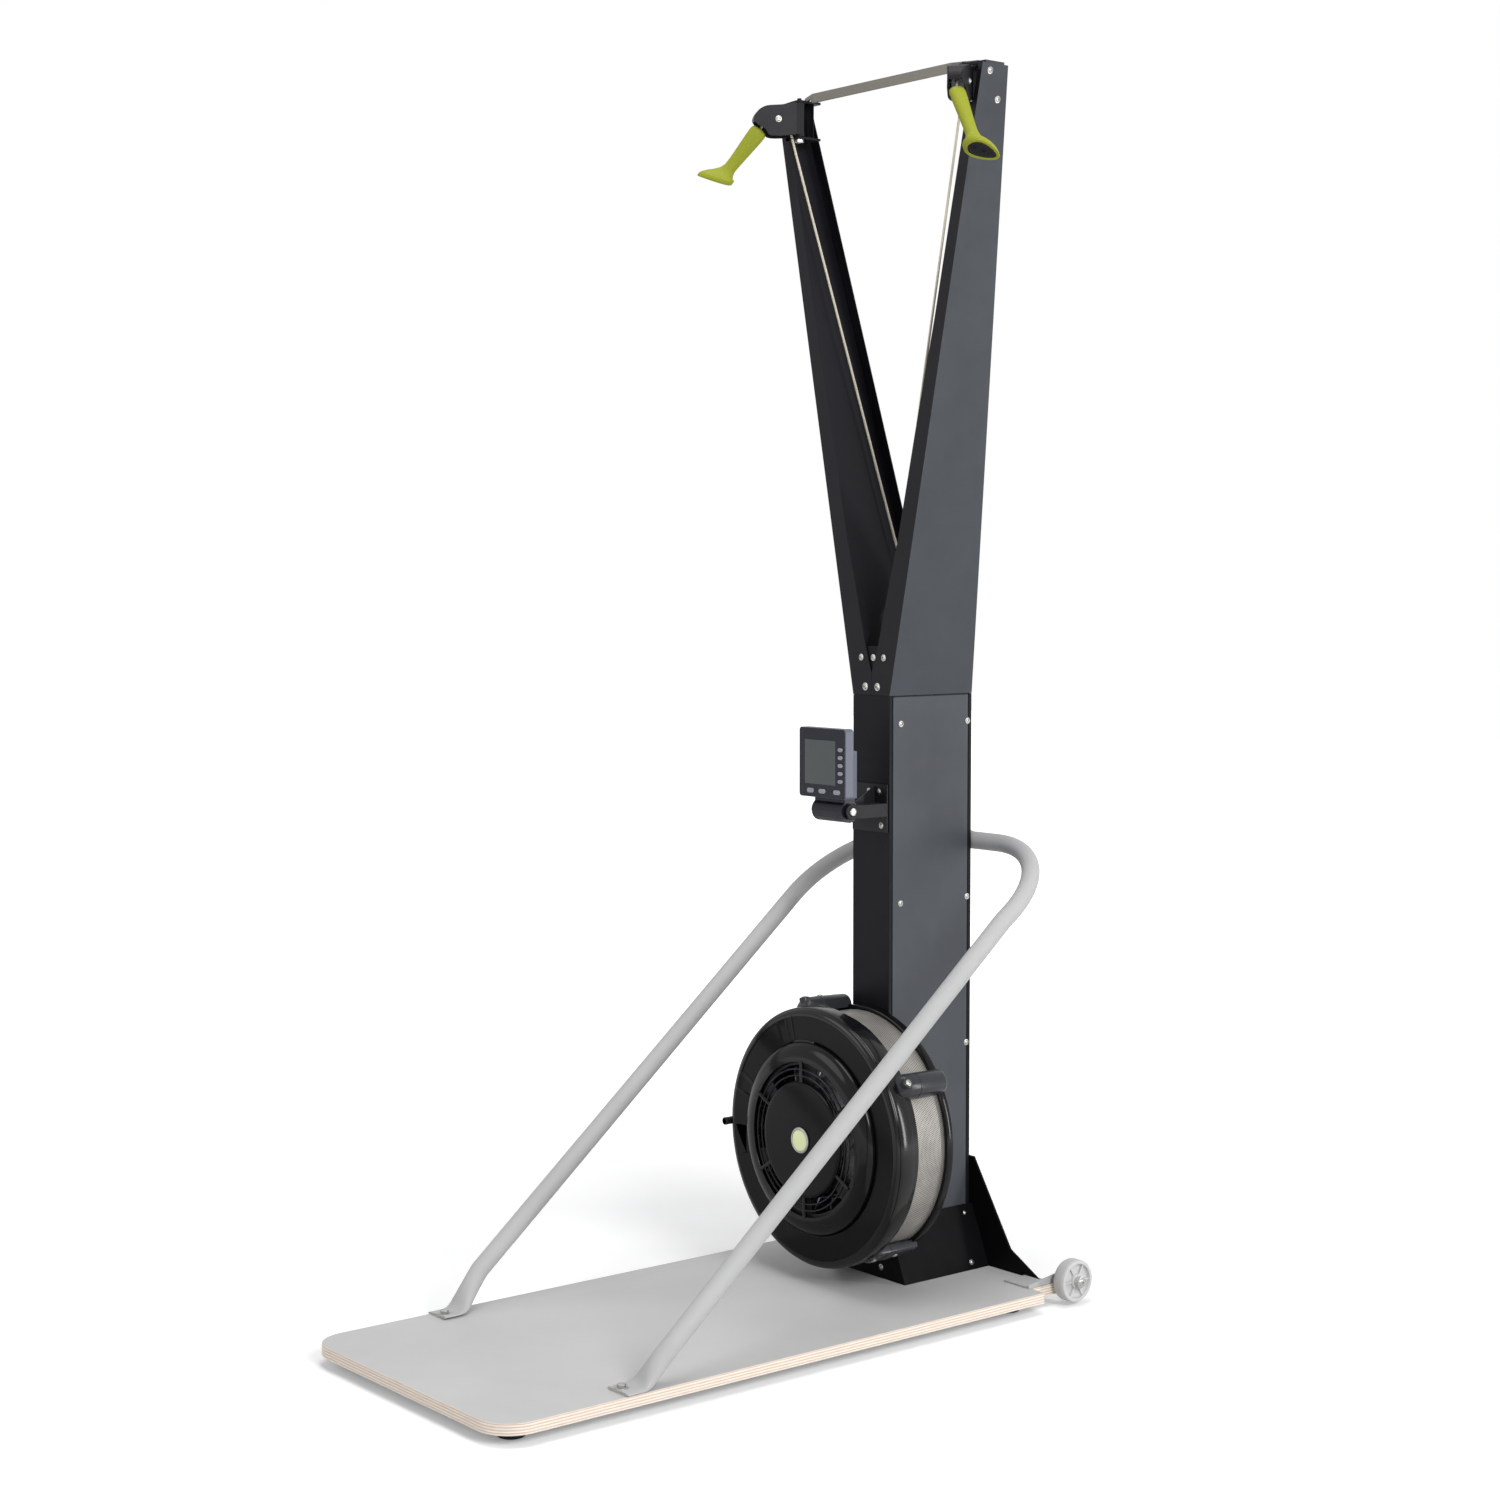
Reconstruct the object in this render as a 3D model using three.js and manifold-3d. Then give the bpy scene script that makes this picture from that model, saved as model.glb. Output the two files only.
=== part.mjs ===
// A floor-standing ski trainer: a column with two arms, two pull cords and an air flywheel in a cage.
// Lengths are in millimetres. X runs to the machine's right, Y to its rear, Z up.
// Places are measured from the column's front face (y), the plane of symmetry (x) and the deck's top (z).
import * as THREE from "three";
import { mergeVertices } from "three/addons/utils/BufferGeometryUtils.js";
import Module from "manifold-3d";

const wasm = await Module();
wasm.setup();
const degrees = THREE.MathUtils.degToRad;

// Fits that every piece shares
const clearance = 0.3;
const runningClearance = 0.5;
const overrun = 4;
const weldDistance = 0.001;

// Column
const columnHalfWidth = 48.4;
const columnDepth = 200;
const columnHeight = 1045;
const sheet = 2;
const columnStrip = 7;
const columnFlange = 40;
const shoeWall = 3;
const shoeTopZ = 108;
const shoeBendZ = 41;
const shoeBendOut = 32.6;
const shoeFootOut = 49.6;
const shoeOverhang = 3;
const shoeDepth = columnDepth + shoeOverhang;
const gussetWall = 4;
const gussetTopZ = 195;
const gussetBendZ = 42;
const gussetTopOut = 7.6;
const gussetBendOut = 103.6;
const gussetFootOut = 179.6;

// Deck
const deckWidth = 573;
const deckAhead = 984;
const deckMargin = 16;
const deckBehind = shoeDepth + deckMargin;
const deckThickness = 19;
const deckCornerRadius = 60;
const footRadius = 22;
const footHeight = 19;
const footInset = 34;

// Stand tube
const tubeRadius = 16;
const tubeInset = 11.5;
const tubeHalfSpread = deckWidth / 2 - tubeInset;
const tubeFootInset = 4;
const tubeFootY = -718;
const tubeKneeY = -655;
const tubeKneeZ = 63;
const tubeShoulderY = 60;
const tubeShoulderZ = 666;
const tubeStandoff = 2;
const tubeCrossY = columnDepth + tubeRadius + tubeStandoff;
const tubeCrossZ = 775;
const tubeCornerRadius = 175;
const tubeKneeRadius = 150;
const tubeShoulderRadius = 300;
const footPlateWidth = 54;
const footPlateLength = 50;
const footPlateThickness = 5;
const footBoltRadius = 8;
const footBoltHeight = 7;
const footBoltSetback = 12;
const saddleWidth = 44;
const saddleWall = 3;
const saddleFlange = 24;

// Transport wheels
const wheelRadius = 38;
const wheelWidth = 26;
const wheelInset = 11.5;
const wheelX = deckWidth / 2 - wheelInset;
const wheelSetback = 19;
const wheelAxleY = deckBehind + wheelSetback;
const wheelAxleZ = 6;
const notchSideGap = 6.5;
const notchFrontGap = 43;
const axleRadius = 5;
const axleCapRadius = 10;
const axleCapWidth = 8;
const bracketWall = 3;
const bracketPlateWidth = 62;
const bracketPlateLength = 52;
const bracketEarRadius = 13;
const wheelStandoff = 10;

// Arms
const armHeight = 1068;
const armTopHalfWidth = 268.5;
const armTopFrontY = 6.7;
const armTopRearY = 66;
const armFlange = 23;
const armInnerBottomY = 128;
const armInnerTopY = 12;
const armRearFlange = 25;
const armMeetHeight = 40;
const armNotchHeight = 66;
const armNotchFlange = 10;
const armNotchDepth = 24;
const barEndInset = 40.5;
const barHalfSpan = armTopHalfWidth - barEndInset;
const barBendInset = 86.5;
const barStraightHalfSpan = armTopHalfWidth - barBendInset;
const barHeight = 17;
const barThickness = 4;
const barY = 17;
const barRise = 12;
const barBendTurn = degrees(25);

// Pulley heads
const pinInset = 52.5;
const pinX = armTopHalfWidth - pinInset;
const pinSetback = 7.3;
const pinY = armTopFrontY + pinSetback;
const headBelowTop = 32;
const headZ = columnHeight + armHeight - headBelowTop;
const headSplay = { left: degrees(30), right: degrees(36) };
const headLength = 85;
const headHalfHeight = 30;
const headHalfWidth = 17;
const headWall = 2.5;
const headNeckLength = 9;
const barrelRadius = 9;
const pinRadius = 4;
const barrelBelow = 28.5;
const barrelAbove = 31.5;
const tabThickness = 4;
const tabReach = 43;
const pulleyReach = 41;
const topPulleyRadius = 20;
const topGrooveRadius = 16;
const topPulleyWidth = 22;
const pulleyBoltRadius = 4;
const pulleyBoltHeadRadius = 6;
const pulleyBoltHead = 3;

// Handles
const handleLength = 120;
const handleTopHalfWidth = 11;
const handleTopHalfDepth = 16;
const handleWaistHalfWidth = 9.5;
const handleWaistHalfDepth = 10;
const handleFootHalfWidth = 22;
const handleFootFront = 40;
const handleFootBack = 21;
const handleFootThickness = 7;
const handleFootSlant = degrees(22);
const handleSeatReach = 71.5;
const handleSeatDrop = 16.5;
const plugMargin = 6;
const plugDepth = 4;

// Cords
const cordRadius = 2.2;
const returnCordRadius = 3;
const cordY = { left: 141, right: 31 };
const cordBelowHead = 34;
const cordTopZ = headZ - cordBelowHead;
const cordTopOut = { left: 4.5, right: 5 };
const cordTopAhead = { left: 13.3, right: 12 };
const guideAbove = 15;
const guideZ = columnHeight + guideAbove;
const guideX = 16;
const guideGrooveRadius = 19;
const guideFlangeRadius = 23;
const guideWidth = 12;
const guideAxleRadius = 5;
const carrierInset = 6.4;
const carrierHalfWidth = columnHalfWidth - carrierInset;
const carrierBelow = 45;
const carrierAbove = 87;
const carrierWall = 3;

// Flywheel drive
const shaftZ = 267;
const shaftRadius = 8;
const shaftAhead = 140;
const shaftBehind = 205;
const shaftNutRadius = 14;
const shaftNutWidth = 10;
const bearingRadius = 16;
const bearingFlangeRadius = 21;
const bearingFlange = 3;
const bearingProud = 6;
const spoolRadius = 19.8;
const spoolFlangeRadius = 28;
const spoolFlange = 3;
const spoolWidth = 12;
const returnDrumRadius = 12;
const returnDrumWidth = 14;
const returnCordOffset = 19;
const fanInnerRadius = 110;
const fanFrontY = -122;
const fanBackY = -36;
const fanDisc = 4;
const fanHubRadius = 30;
const fanHubBackY = -24;
const fanHubFrontY = -62;
const fanRimWidth = 8;
const fanBladeThickness = 2.5;
const fanBladeLean = degrees(28);
const fanBladeCount = 20;

// Flywheel cage
const cageWall = 3;
const shellRadius = 231;
const bandInset = 60;
const bandOuterRadius = shellRadius - bandInset;
const bandWidth = 35;
const grilleOuterRadius = bandOuterRadius - bandWidth;
const grilleWidth = 34;
const discRadius = grilleOuterRadius - grilleWidth;
const discFrontY = -163;
const grilleFrontY = -158;
const grilleRingCount = 3;
const grilleSpokeCount = 6;
const grilleSpokeWidth = 7;
const grilleBarWidth = 2.6;
const grilleSpokeTurn = degrees(92);
const bandBackY = -142;
const faceY = -140;
const shellShoulder = 13;
const shellWaistInset = 5;
const shellWaistRadius = shellRadius - shellWaistInset;
const shellWaistY = -96;
const shellRimY = -78;
const screenInset = 16;
const screenRadius = shellRadius - screenInset;
const screenSheet = 1.5;
const screenLap = 7;
const fanGap = 11;
const fanRadius = screenRadius - fanGap;
const rearShellInset = 7.5;
const rearShellRadius = shellRadius - rearShellInset;
const rearShellFrontY = -21;
const rearShellBackY = -4;
const rearBossRadius = 40;
const panelDepth = 1.6;
const panelFromTurn = degrees(108);
const panelToTurn = degrees(162);
const lugTurns = [105, 31, -58, -148].map(degrees);
const lugHalfWidth = 22;
const lugHeight = 23;
const lugFrontY = -112;
const lugBackY = -9;
const hubCapRadius = 23;
const hubCapThickness = 4;
const damperRimInset = 4;
const damperRimRadius = discRadius - damperRimInset;
const damperRimWall = 3;
const damperRimDepth = 11;
const damperSheet = 2;
const damperInnerY = -151;
const damperDiscLap = 2;
const damperDiscRadius = grilleOuterRadius + damperDiscLap;
const damperOuterY = -132;
const damperOuterLap = 11;
const damperOuterRadius = bandOuterRadius + damperOuterLap;
const damperLipWidth = 16;
const damperConeRadius = damperOuterRadius - damperLipWidth;
const damperLeverWidth = 10;
const damperLeverTurn = degrees(182);
const damperSlotTurn = degrees(31);
const damperKnobRadius = 7;
const damperKnobOut = 7;
const damperKnobReach = shellRadius + damperKnobOut;
const damperKnobAheadY = -146;
const damperKnobBehindY = -126;

// Monitor, measured from its tilt pivot
const pivotY = -85;
const pivotZ = 845;
const monitorHalfWidth = 62;
const monitorFrontY = -30;
const monitorBackY = -11;
const monitorTopZ = 146;
const monitorCornerRadius = 5;
const backHalfWidth = 52;
const backDepth = 20;
const backTopZ = 110;
const backTaper = 4;
const screenLeft = -47;
const screenRight = 36;
const screenTopZ = 125;
const screenThickness = 2;
const sideKeyCount = 5;
const sideKeyX = 49;
const sideKeyWidth = 12;
const sideKeyHeight = 6.5;
const sideKeyTopZ = 109.6;
const sideKeyPitch = 13.8;
const baseKeyXs = [-31, 0.6, 40];
const baseKeyWidth = 17;
const baseKeyHeight = 8;
const baseKeyDrop = 19.4;
const baseKeyZ = sideKeyTopZ - (sideKeyCount - 1) * sideKeyPitch - baseKeyDrop;
const monitorSill = 11.5;
const screenAboveKeys = 11.5;
const screenBottomZ = baseKeyZ + screenAboveKeys;
const monitorBottomZ = baseKeyZ - monitorSill;
const keyProud = 1.4;
const keyTravel = 1;
const keyBody = 4;
const keyCornerRadius = 2.4;
const armHalfWidth = 40;
const armBarrelRadius = 20;
const armNeckFrontY = -12;
const tiltBoltRadius = 4;
const tiltBoltHeadRadius = 7.5;
const tiltBoltHead = 4;
const earWall = 5;
const earRadius = 12;
const bracketHalfWidth = 46;
const bracketBelow = 42;
const bracketAbove = 43;
const bracketPlate = 3;
const shelfTopZ = 7;
const shelfBottomZ = -13;
const shelfFrontY = 25;
const ribHeight = 34;
const ribX = 12;

const X = new THREE.Vector3(1, 0, 0);
const Y = new THREE.Vector3(0, 1, 0);
const Z = new THREE.Vector3(0, 0, 1);
const fullTurn = 2 * Math.PI;
const cageSegments = 30;
const fanSegments = 26;
const sides = { left: -1, right: 1 };

// A closed geometry as a solid that can be joined and cut, turned outward where its profile ran inward
function solid(geometry) {
  const plain = geometry.index ? geometry.toNonIndexed() : geometry.clone();
  const bare = new THREE.BufferGeometry();
  bare.setAttribute("position", plain.getAttribute("position"));
  const welded = mergeVertices(bare, weldDistance);
  const corners = welded.index.array;
  const kept = [];
  for (let i = 0; i < corners.length; i += 3) {
    const [a, b, c] = corners.subarray(i, i + 3);
    if (a !== b && b !== c && c !== a) kept.push(a, b, c);
  }
  const made = manifoldFrom(welded.attributes.position.array, kept);
  if (made.volume() > 0) return made;
  return manifoldFrom(welded.attributes.position.array, kept.reverse());
}

function manifoldFrom(vertProperties, corners) {
  const triVerts = new Uint32Array(corners);
  return new wasm.Manifold(new wasm.Mesh({ numProp: 3, vertProperties, triVerts }));
}

function geometryOf(shape) {
  const mesh = shape.getMesh();
  const positions = new Float32Array(mesh.triVerts.length * 3);
  mesh.triVerts.forEach((vertex, i) => {
    const start = vertex * mesh.numProp;
    positions.set(mesh.vertProperties.subarray(start, start + 3), i * 3);
  });
  const geometry = new THREE.BufferGeometry();
  geometry.setAttribute("position", new THREE.BufferAttribute(positions, 3));
  geometry.computeVertexNormals();
  return geometry;
}

function joined(...shapes) {
  return shapes.flat().reduce((body, shape) => body.add(shape));
}

function cut(body, ...tools) {
  return tools.flat().reduce((left, tool) => left.subtract(tool), body);
}

// A box between two values on each axis
function block([x0, x1], [y0, y1], [z0, z1]) {
  const geometry = new THREE.BoxGeometry(Math.abs(x1 - x0), Math.abs(y1 - y0), Math.abs(z1 - z0));
  geometry.translate((x0 + x1) / 2, (y0 + y1) / 2, (z0 + z1) / 2);
  return solid(geometry);
}

// An outline pushed along an axis. Its own axes are (y, z) for x, (x, z) for y and (x, y) for z.
function extrude(axis, outline, from, to) {
  const low = Math.min(from, to);
  const high = Math.max(from, to);
  const geometry = new THREE.ExtrudeGeometry(outline, { depth: high - low, bevelEnabled: false });
  if (axis === "x") {
    geometry.applyMatrix4(new THREE.Matrix4().makeBasis(Y, Z, X));
    geometry.translate(low, 0, 0);
  } else if (axis === "y") {
    geometry.applyMatrix4(new THREE.Matrix4().makeBasis(X, Z, Y.clone().negate()));
    geometry.translate(0, high, 0);
  } else {
    geometry.translate(0, 0, low);
  }
  return solid(geometry);
}

function outlineOf(points) {
  return new THREE.Shape(points.map(([u, v]) => new THREE.Vector2(u, v)));
}

// The points of an arc round a centre, from one angle to another
function arc([u, v], radius, from, to, steps) {
  const points = [];
  for (let i = 0; i <= steps; i += 1) {
    const angle = from + ((to - from) * i) / steps;
    points.push([u + radius * Math.cos(angle), v + radius * Math.sin(angle)]);
  }
  return points;
}

function ringOf(centre, radius, count) {
  return arc(centre, radius, 0, fullTurn, count).slice(0, count);
}

// A straight round bar along an axis
function rod(axis, centre, radius, from, to, count = 16) {
  return extrude(axis, outlineOf(ringOf(centre, radius, count)), from, to);
}

function roundedOutline([u0, u1], [v0, v1], radius, steps = 3) {
  const quarter = Math.PI / 2;
  const corners = [
    [u1 - radius, v1 - radius],
    [u0 + radius, v1 - radius],
    [u0 + radius, v0 + radius],
    [u1 - radius, v0 + radius],
  ];
  const turn = (centre, i) => arc(centre, radius, i * quarter, (i + 1) * quarter, steps);
  return outlineOf(corners.flatMap(turn));
}

// A part of a flat ring, between two angles
function sectorOutline(inner, outer, from, to, steps) {
  return outlineOf([...arc([0, 0], outer, from, to, steps), ...arc([0, 0], inner, to, from, steps)]);
}

// A profile of [radius, height] points turned round an axis
function revolve(axis, profile, count) {
  const points = profile.map(([radius, height]) => new THREE.Vector2(radius, height));
  if (profile[0][0] > 0) points.push(points[0].clone());
  const geometry = new THREE.LatheGeometry(points, count);
  if (axis === "x") geometry.rotateZ(-Math.PI / 2);
  if (axis === "z") geometry.rotateX(Math.PI / 2);
  return solid(geometry);
}

// A closed skin over rings of equally many points; flatten gives a ring's own plane for its end caps
function loft(rings, flatten) {
  const count = rings[0].length;
  const positions = [];
  const put = (...corners) => corners.forEach((p) => positions.push(p.x, p.y, p.z));
  for (let r = 0; r < rings.length - 1; r += 1) {
    for (let i = 0; i < count; i += 1) {
      const j = (i + 1) % count;
      put(rings[r][i], rings[r][j], rings[r + 1][j]);
      put(rings[r][i], rings[r + 1][j], rings[r + 1][i]);
    }
  }
  const first = rings[0];
  const last = rings[rings.length - 1];
  const faces = THREE.ShapeUtils.triangulateShape(first.map(flatten), []);
  faces.forEach(([a, b, c]) => {
    put(first[c], first[b], first[a]);
    put(last[a], last[b], last[c]);
  });
  const geometry = new THREE.BufferGeometry();
  geometry.setAttribute("position", new THREE.Float32BufferAttribute(positions, 3));
  return solid(orientCaps(geometry, rings, faces.length));
}

// Turns the end caps round where the rings run the other way, so that all faces agree
function orientCaps(geometry, rings, capFaces) {
  const wall = signedVolume(geometry, 0, geometry.attributes.position.count - 6 * capFaces);
  const caps = signedVolume(geometry, geometry.attributes.position.count - 6 * capFaces, Infinity);
  const whole = Math.abs(wall + caps);
  const turned = Math.abs(wall - caps);
  if (whole >= turned) return geometry;
  const array = geometry.attributes.position.array;
  for (let i = array.length - 18 * capFaces; i < array.length; i += 9) {
    for (let k = i; k < i + 3; k += 1) [array[k], array[k + 6]] = [array[k + 6], array[k]];
  }
  return geometry;
}

function signedVolume(geometry, from, to) {
  const position = geometry.attributes.position;
  const middle = new THREE.Vector3();
  geometry.computeBoundingBox();
  geometry.boundingBox.getCenter(middle);
  const [a, b, c] = [new THREE.Vector3(), new THREE.Vector3(), new THREE.Vector3()];
  let sum = 0;
  for (let i = from; i < Math.min(to, position.count); i += 3) {
    a.fromBufferAttribute(position, i).sub(middle);
    b.fromBufferAttribute(position, i + 1).sub(middle);
    c.fromBufferAttribute(position, i + 2).sub(middle);
    sum += a.dot(b.cross(c));
  }
  return sum;
}

// A path through given points, with a section in the plane that halves each bend
class Route extends THREE.Curve {
  constructor(points) {
    super();
    this.points = points;
  }

  getPoint(share, target = new THREE.Vector3()) {
    const place = share * (this.points.length - 1);
    const i = Math.min(Math.floor(place), this.points.length - 2);
    return target.lerpVectors(this.points[i], this.points[i + 1], place - i);
  }

  getPointAt(share, target) {
    return this.getPoint(share, target);
  }

  getTangentAt(share, target = new THREE.Vector3()) {
    const last = this.points.length - 1;
    const i = Math.round(share * last);
    target.set(0, 0, 0);
    if (i > 0) target.add(this.points[i].clone().sub(this.points[i - 1]).normalize());
    if (i < last) target.add(this.points[i + 1].clone().sub(this.points[i]).normalize());
    return target.normalize();
  }
}

// The corners of a bent tube with each bend as an arc of its own radius
function roundedRoute(corners, radii, stepsPerQuarter) {
  const points = [corners[0]];
  for (let i = 1; i < corners.length - 1; i += 1) {
    const radius = radii[i - 1];
    const incoming = corners[i].clone().sub(corners[i - 1]).normalize();
    const outgoing = corners[i + 1].clone().sub(corners[i]).normalize();
    const turn = incoming.angleTo(outgoing);
    const axis = incoming.clone().cross(outgoing).normalize();
    const start = corners[i].clone().addScaledVector(incoming, -radius * Math.tan(turn / 2));
    const centre = start.clone().addScaledVector(axis.clone().cross(incoming), radius);
    const steps = Math.max(2, Math.round((stepsPerQuarter * turn) / (Math.PI / 2)));
    for (let k = 0; k <= steps; k += 1) {
      const spoke = start.clone().sub(centre).applyAxisAngle(axis, (turn * k) / steps);
      points.push(centre.clone().add(spoke));
    }
  }
  points.push(corners[corners.length - 1]);
  return points;
}

function tube(points, radius, count) {
  const settings = { steps: points.length - 1, extrudePath: new Route(points), bevelEnabled: false };
  return solid(new THREE.ExtrudeGeometry(outlineOf(ringOf([0, 0], radius, count)), settings));
}

const finishes = {
  plywood: { color: 0xc3b6a4, roughness: 0.75, metalness: 0 },
  rubber: { color: 0x26262a, roughness: 0.85, metalness: 0 },
  greySteel: { color: 0xb9bcc0, roughness: 0.4, metalness: 0.5 },
  blackSteel: { color: 0x1e1f26, roughness: 0.5, metalness: 0.3 },
  panelSteel: { color: 0x585c62, roughness: 0.55, metalness: 0.3 },
  brightSteel: { color: 0xc9ccd0, roughness: 0.25, metalness: 1 },
  stripSteel: { color: 0x5e564e, roughness: 0.45, metalness: 0.6 },
  blackPlastic: { color: 0x202126, roughness: 0.5, metalness: 0 },
  greyPlastic: { color: 0x8d9096, roughness: 0.6, metalness: 0 },
  wheelPlastic: { color: 0xaeb1b4, roughness: 0.6, metalness: 0 },
  limePlastic: { color: 0xaab428, roughness: 0.45, metalness: 0 },
  cord: { color: 0xcfc6b2, roughness: 0.9, metalness: 0 },
  elastic: { color: 0x33343a, roughness: 0.9, metalness: 0 },
  screenSteel: { color: 0x77797c, roughness: 0.5, metalness: 0.6 },
  casePlastic: { color: 0x2a2c3a, roughness: 0.5, metalness: 0 },
  keyPlastic: { color: 0xc8cbd0, roughness: 0.6, metalness: 0 },
  display: { color: 0x9fa8a2, roughness: 0.2, metalness: 0 },
};

function place(group, name, shape, finish) {
  const mesh = new THREE.Mesh(geometryOf(shape), new THREE.MeshStandardMaterial(finishes[finish]));
  mesh.name = name;
  group.add(mesh);
  return mesh;
}

function subgroup(parent, x, y, z) {
  const group = new THREE.Group();
  group.position.set(x, y, z);
  parent.add(group);
  return group;
}

// Plywood deck: round front corners, and rear corners notched for the wheels
function deckBoard() {
  const half = deckWidth / 2;
  const notchX = wheelX - wheelWidth / 2 - notchSideGap;
  const notchY = wheelAxleY - wheelRadius - notchFrontGap;
  const frontY = -deckAhead + deckCornerRadius;
  const cornerX = half - deckCornerRadius;
  const outline = outlineOf([
    [notchX, deckBehind],
    [-notchX, deckBehind],
    [-notchX, notchY],
    [-half, notchY],
    ...arc([-cornerX, frontY], deckCornerRadius, Math.PI, 1.5 * Math.PI, 6),
    ...arc([cornerX, frontY], deckCornerRadius, 1.5 * Math.PI, fullTurn, 6),
    [half, notchY],
    [notchX, notchY],
  ]);
  return extrude("z", outline, -deckThickness, 0);
}

function deckFeet(group) {
  const rearY = wheelAxleY - wheelRadius - notchFrontGap - footInset;
  const ends = { front: -deckAhead + deckCornerRadius, rear: rearY };
  for (const [end, y] of Object.entries(ends)) {
    for (const [side, sign] of Object.entries(sides)) {
      const centre = [sign * (deckWidth / 2 - deckCornerRadius), y];
      const bottom = -deckThickness - footHeight;
      const foot = rod("z", centre, footRadius, bottom, -deckThickness - clearance);
      place(group, `deck_foot_${end}_${side}`, foot, "rubber");
    }
  }
}

// One tube bent into a sloping U, with a flattened and bolted foot at each end
function standTube() {
  const footX = tubeHalfSpread - tubeFootInset;
  const corners = [
    new THREE.Vector3(footX, tubeFootY, clearance + footPlateThickness / 2),
    new THREE.Vector3(tubeHalfSpread, tubeKneeY, tubeKneeZ),
    new THREE.Vector3(tubeHalfSpread, tubeShoulderY, tubeShoulderZ),
    new THREE.Vector3(tubeHalfSpread, tubeCrossY, tubeCrossZ),
  ];
  const mirrored = corners.map((p) => new THREE.Vector3(-p.x, p.y, p.z)).reverse();
  const radii = [tubeKneeRadius, tubeShoulderRadius, tubeCornerRadius];
  const route = roundedRoute([...corners, ...mirrored], [...radii, ...radii.slice().reverse()], 5);
  const bent = tube(route, tubeRadius, 10);
  const below = block(
    [-deckWidth, deckWidth],
    [tubeFootY - deckWidth, tubeKneeY],
    [-deckThickness - deckWidth, clearance],
  );
  const ends = Object.values(sides).flatMap((sign) => {
    const plateX = sign * (footX - footPlateWidth / 6);
    const plateY = tubeFootY - footPlateLength / 6;
    const xs = [plateX - footPlateWidth / 2, plateX + footPlateWidth / 2];
    const ys = [plateY - footPlateLength / 2, plateY + footPlateLength / 2];
    const top = clearance + footPlateThickness;
    const boltCentre = [plateX - (sign * footPlateWidth) / 8, ys[0] + footBoltSetback];
    const outline = roundedOutline(xs, ys, footPlateThickness);
    return [
      extrude("z", outline, clearance, top),
      rod("z", boltCentre, footBoltRadius, top - clearance, top + footBoltHeight, 6),
    ];
  });
  return joined(cut(bent, below), ends);
}

// Saddle strap that holds the tube's cross run behind the column
function tubeSaddle() {
  const faceBehind = columnDepth + clearance;
  const inner = tubeRadius + clearance;
  const outer = inner + saddleWall;
  const strap = rod("x", [tubeCrossY, tubeCrossZ], outer, -saddleWidth / 2, saddleWidth / 2, 14);
  const xs = [-saddleWidth / 2, saddleWidth / 2];
  const zs = [tubeCrossZ - outer - saddleFlange, tubeCrossZ + outer + saddleFlange];
  const flange = block(xs, [faceBehind, faceBehind + saddleWall], zs);
  const filling = block(xs, [faceBehind, tubeCrossY], [tubeCrossZ - outer, tubeCrossZ + outer]);
  const wide = [-saddleWidth, saddleWidth];
  const bore = rod("x", [tubeCrossY, tubeCrossZ], inner / Math.cos(Math.PI / 14), ...wide, 14);
  const beyond = block(wide, [faceBehind - 2 * outer, faceBehind], [zs[0] - overrun, zs[1] + overrun]);
  const bolts = [zs[0] + saddleFlange / 2, zs[1] - saddleFlange / 2].map((z) =>
    rod("y", [0, z], footBoltRadius, faceBehind + saddleWall / 2, faceBehind + 2 * saddleWall, 6),
  );
  return joined(cut(joined(strap, flange, filling), bore, beyond), bolts);
}

function wheelBracket(sign) {
  const earX = wheelX - wheelWidth / 2 - wheelStandoff;
  const plateY = [shoeDepth - bracketPlateLength, shoeDepth - clearance];
  const plateZ = [clearance, clearance + bracketWall];
  const span = (a, b) => [sign * a, sign * b];
  const plate = block(span(earX - bracketPlateWidth, earX), plateY, plateZ);
  const ear = extrude(
    "x",
    outlineOf([
      [plateY[0], plateZ[0]],
      [deckBehind + clearance, plateZ[0]],
      ...arc([wheelAxleY, wheelAxleZ], bracketEarRadius, -0.7 * Math.PI, 0.6 * Math.PI, 8),
      [plateY[0], plateZ[1] + bracketWall],
    ]),
    ...span(earX - bracketWall, earX),
  );
  const centre = [wheelAxleY, wheelAxleZ];
  const wheelOut = wheelX + wheelWidth / 2 + runningClearance;
  const axle = rod("x", centre, axleRadius, ...span(earX - bracketWall, wheelOut + axleCapWidth / 2), 12);
  const spacer = rod("x", centre, axleCapRadius, ...span(earX, earX + wheelStandoff - runningClearance), 12);
  const cap = rod("x", centre, axleCapRadius, ...span(wheelOut, wheelOut + axleCapWidth), 12);
  return joined(plate, ear, axle, spacer, cap);
}

// Wheel with a round tread and dished sides
function transportWheel() {
  const half = wheelWidth / 2;
  const bore = axleRadius + runningClearance;
  const hub = 2 * axleRadius + runningClearance + wheelWidth / 8;
  const profile = [
    [bore, -half],
    [hub, -half],
    [hub + axleRadius, -half / 2],
    [wheelRadius - axleRadius, -half],
    [wheelRadius, -half / 2],
    [wheelRadius, half / 2],
    [wheelRadius - axleRadius, half],
    [hub + axleRadius, half / 2],
    [hub, half],
    [bore, half],
  ];
  return revolve("x", profile, 16);
}

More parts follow.
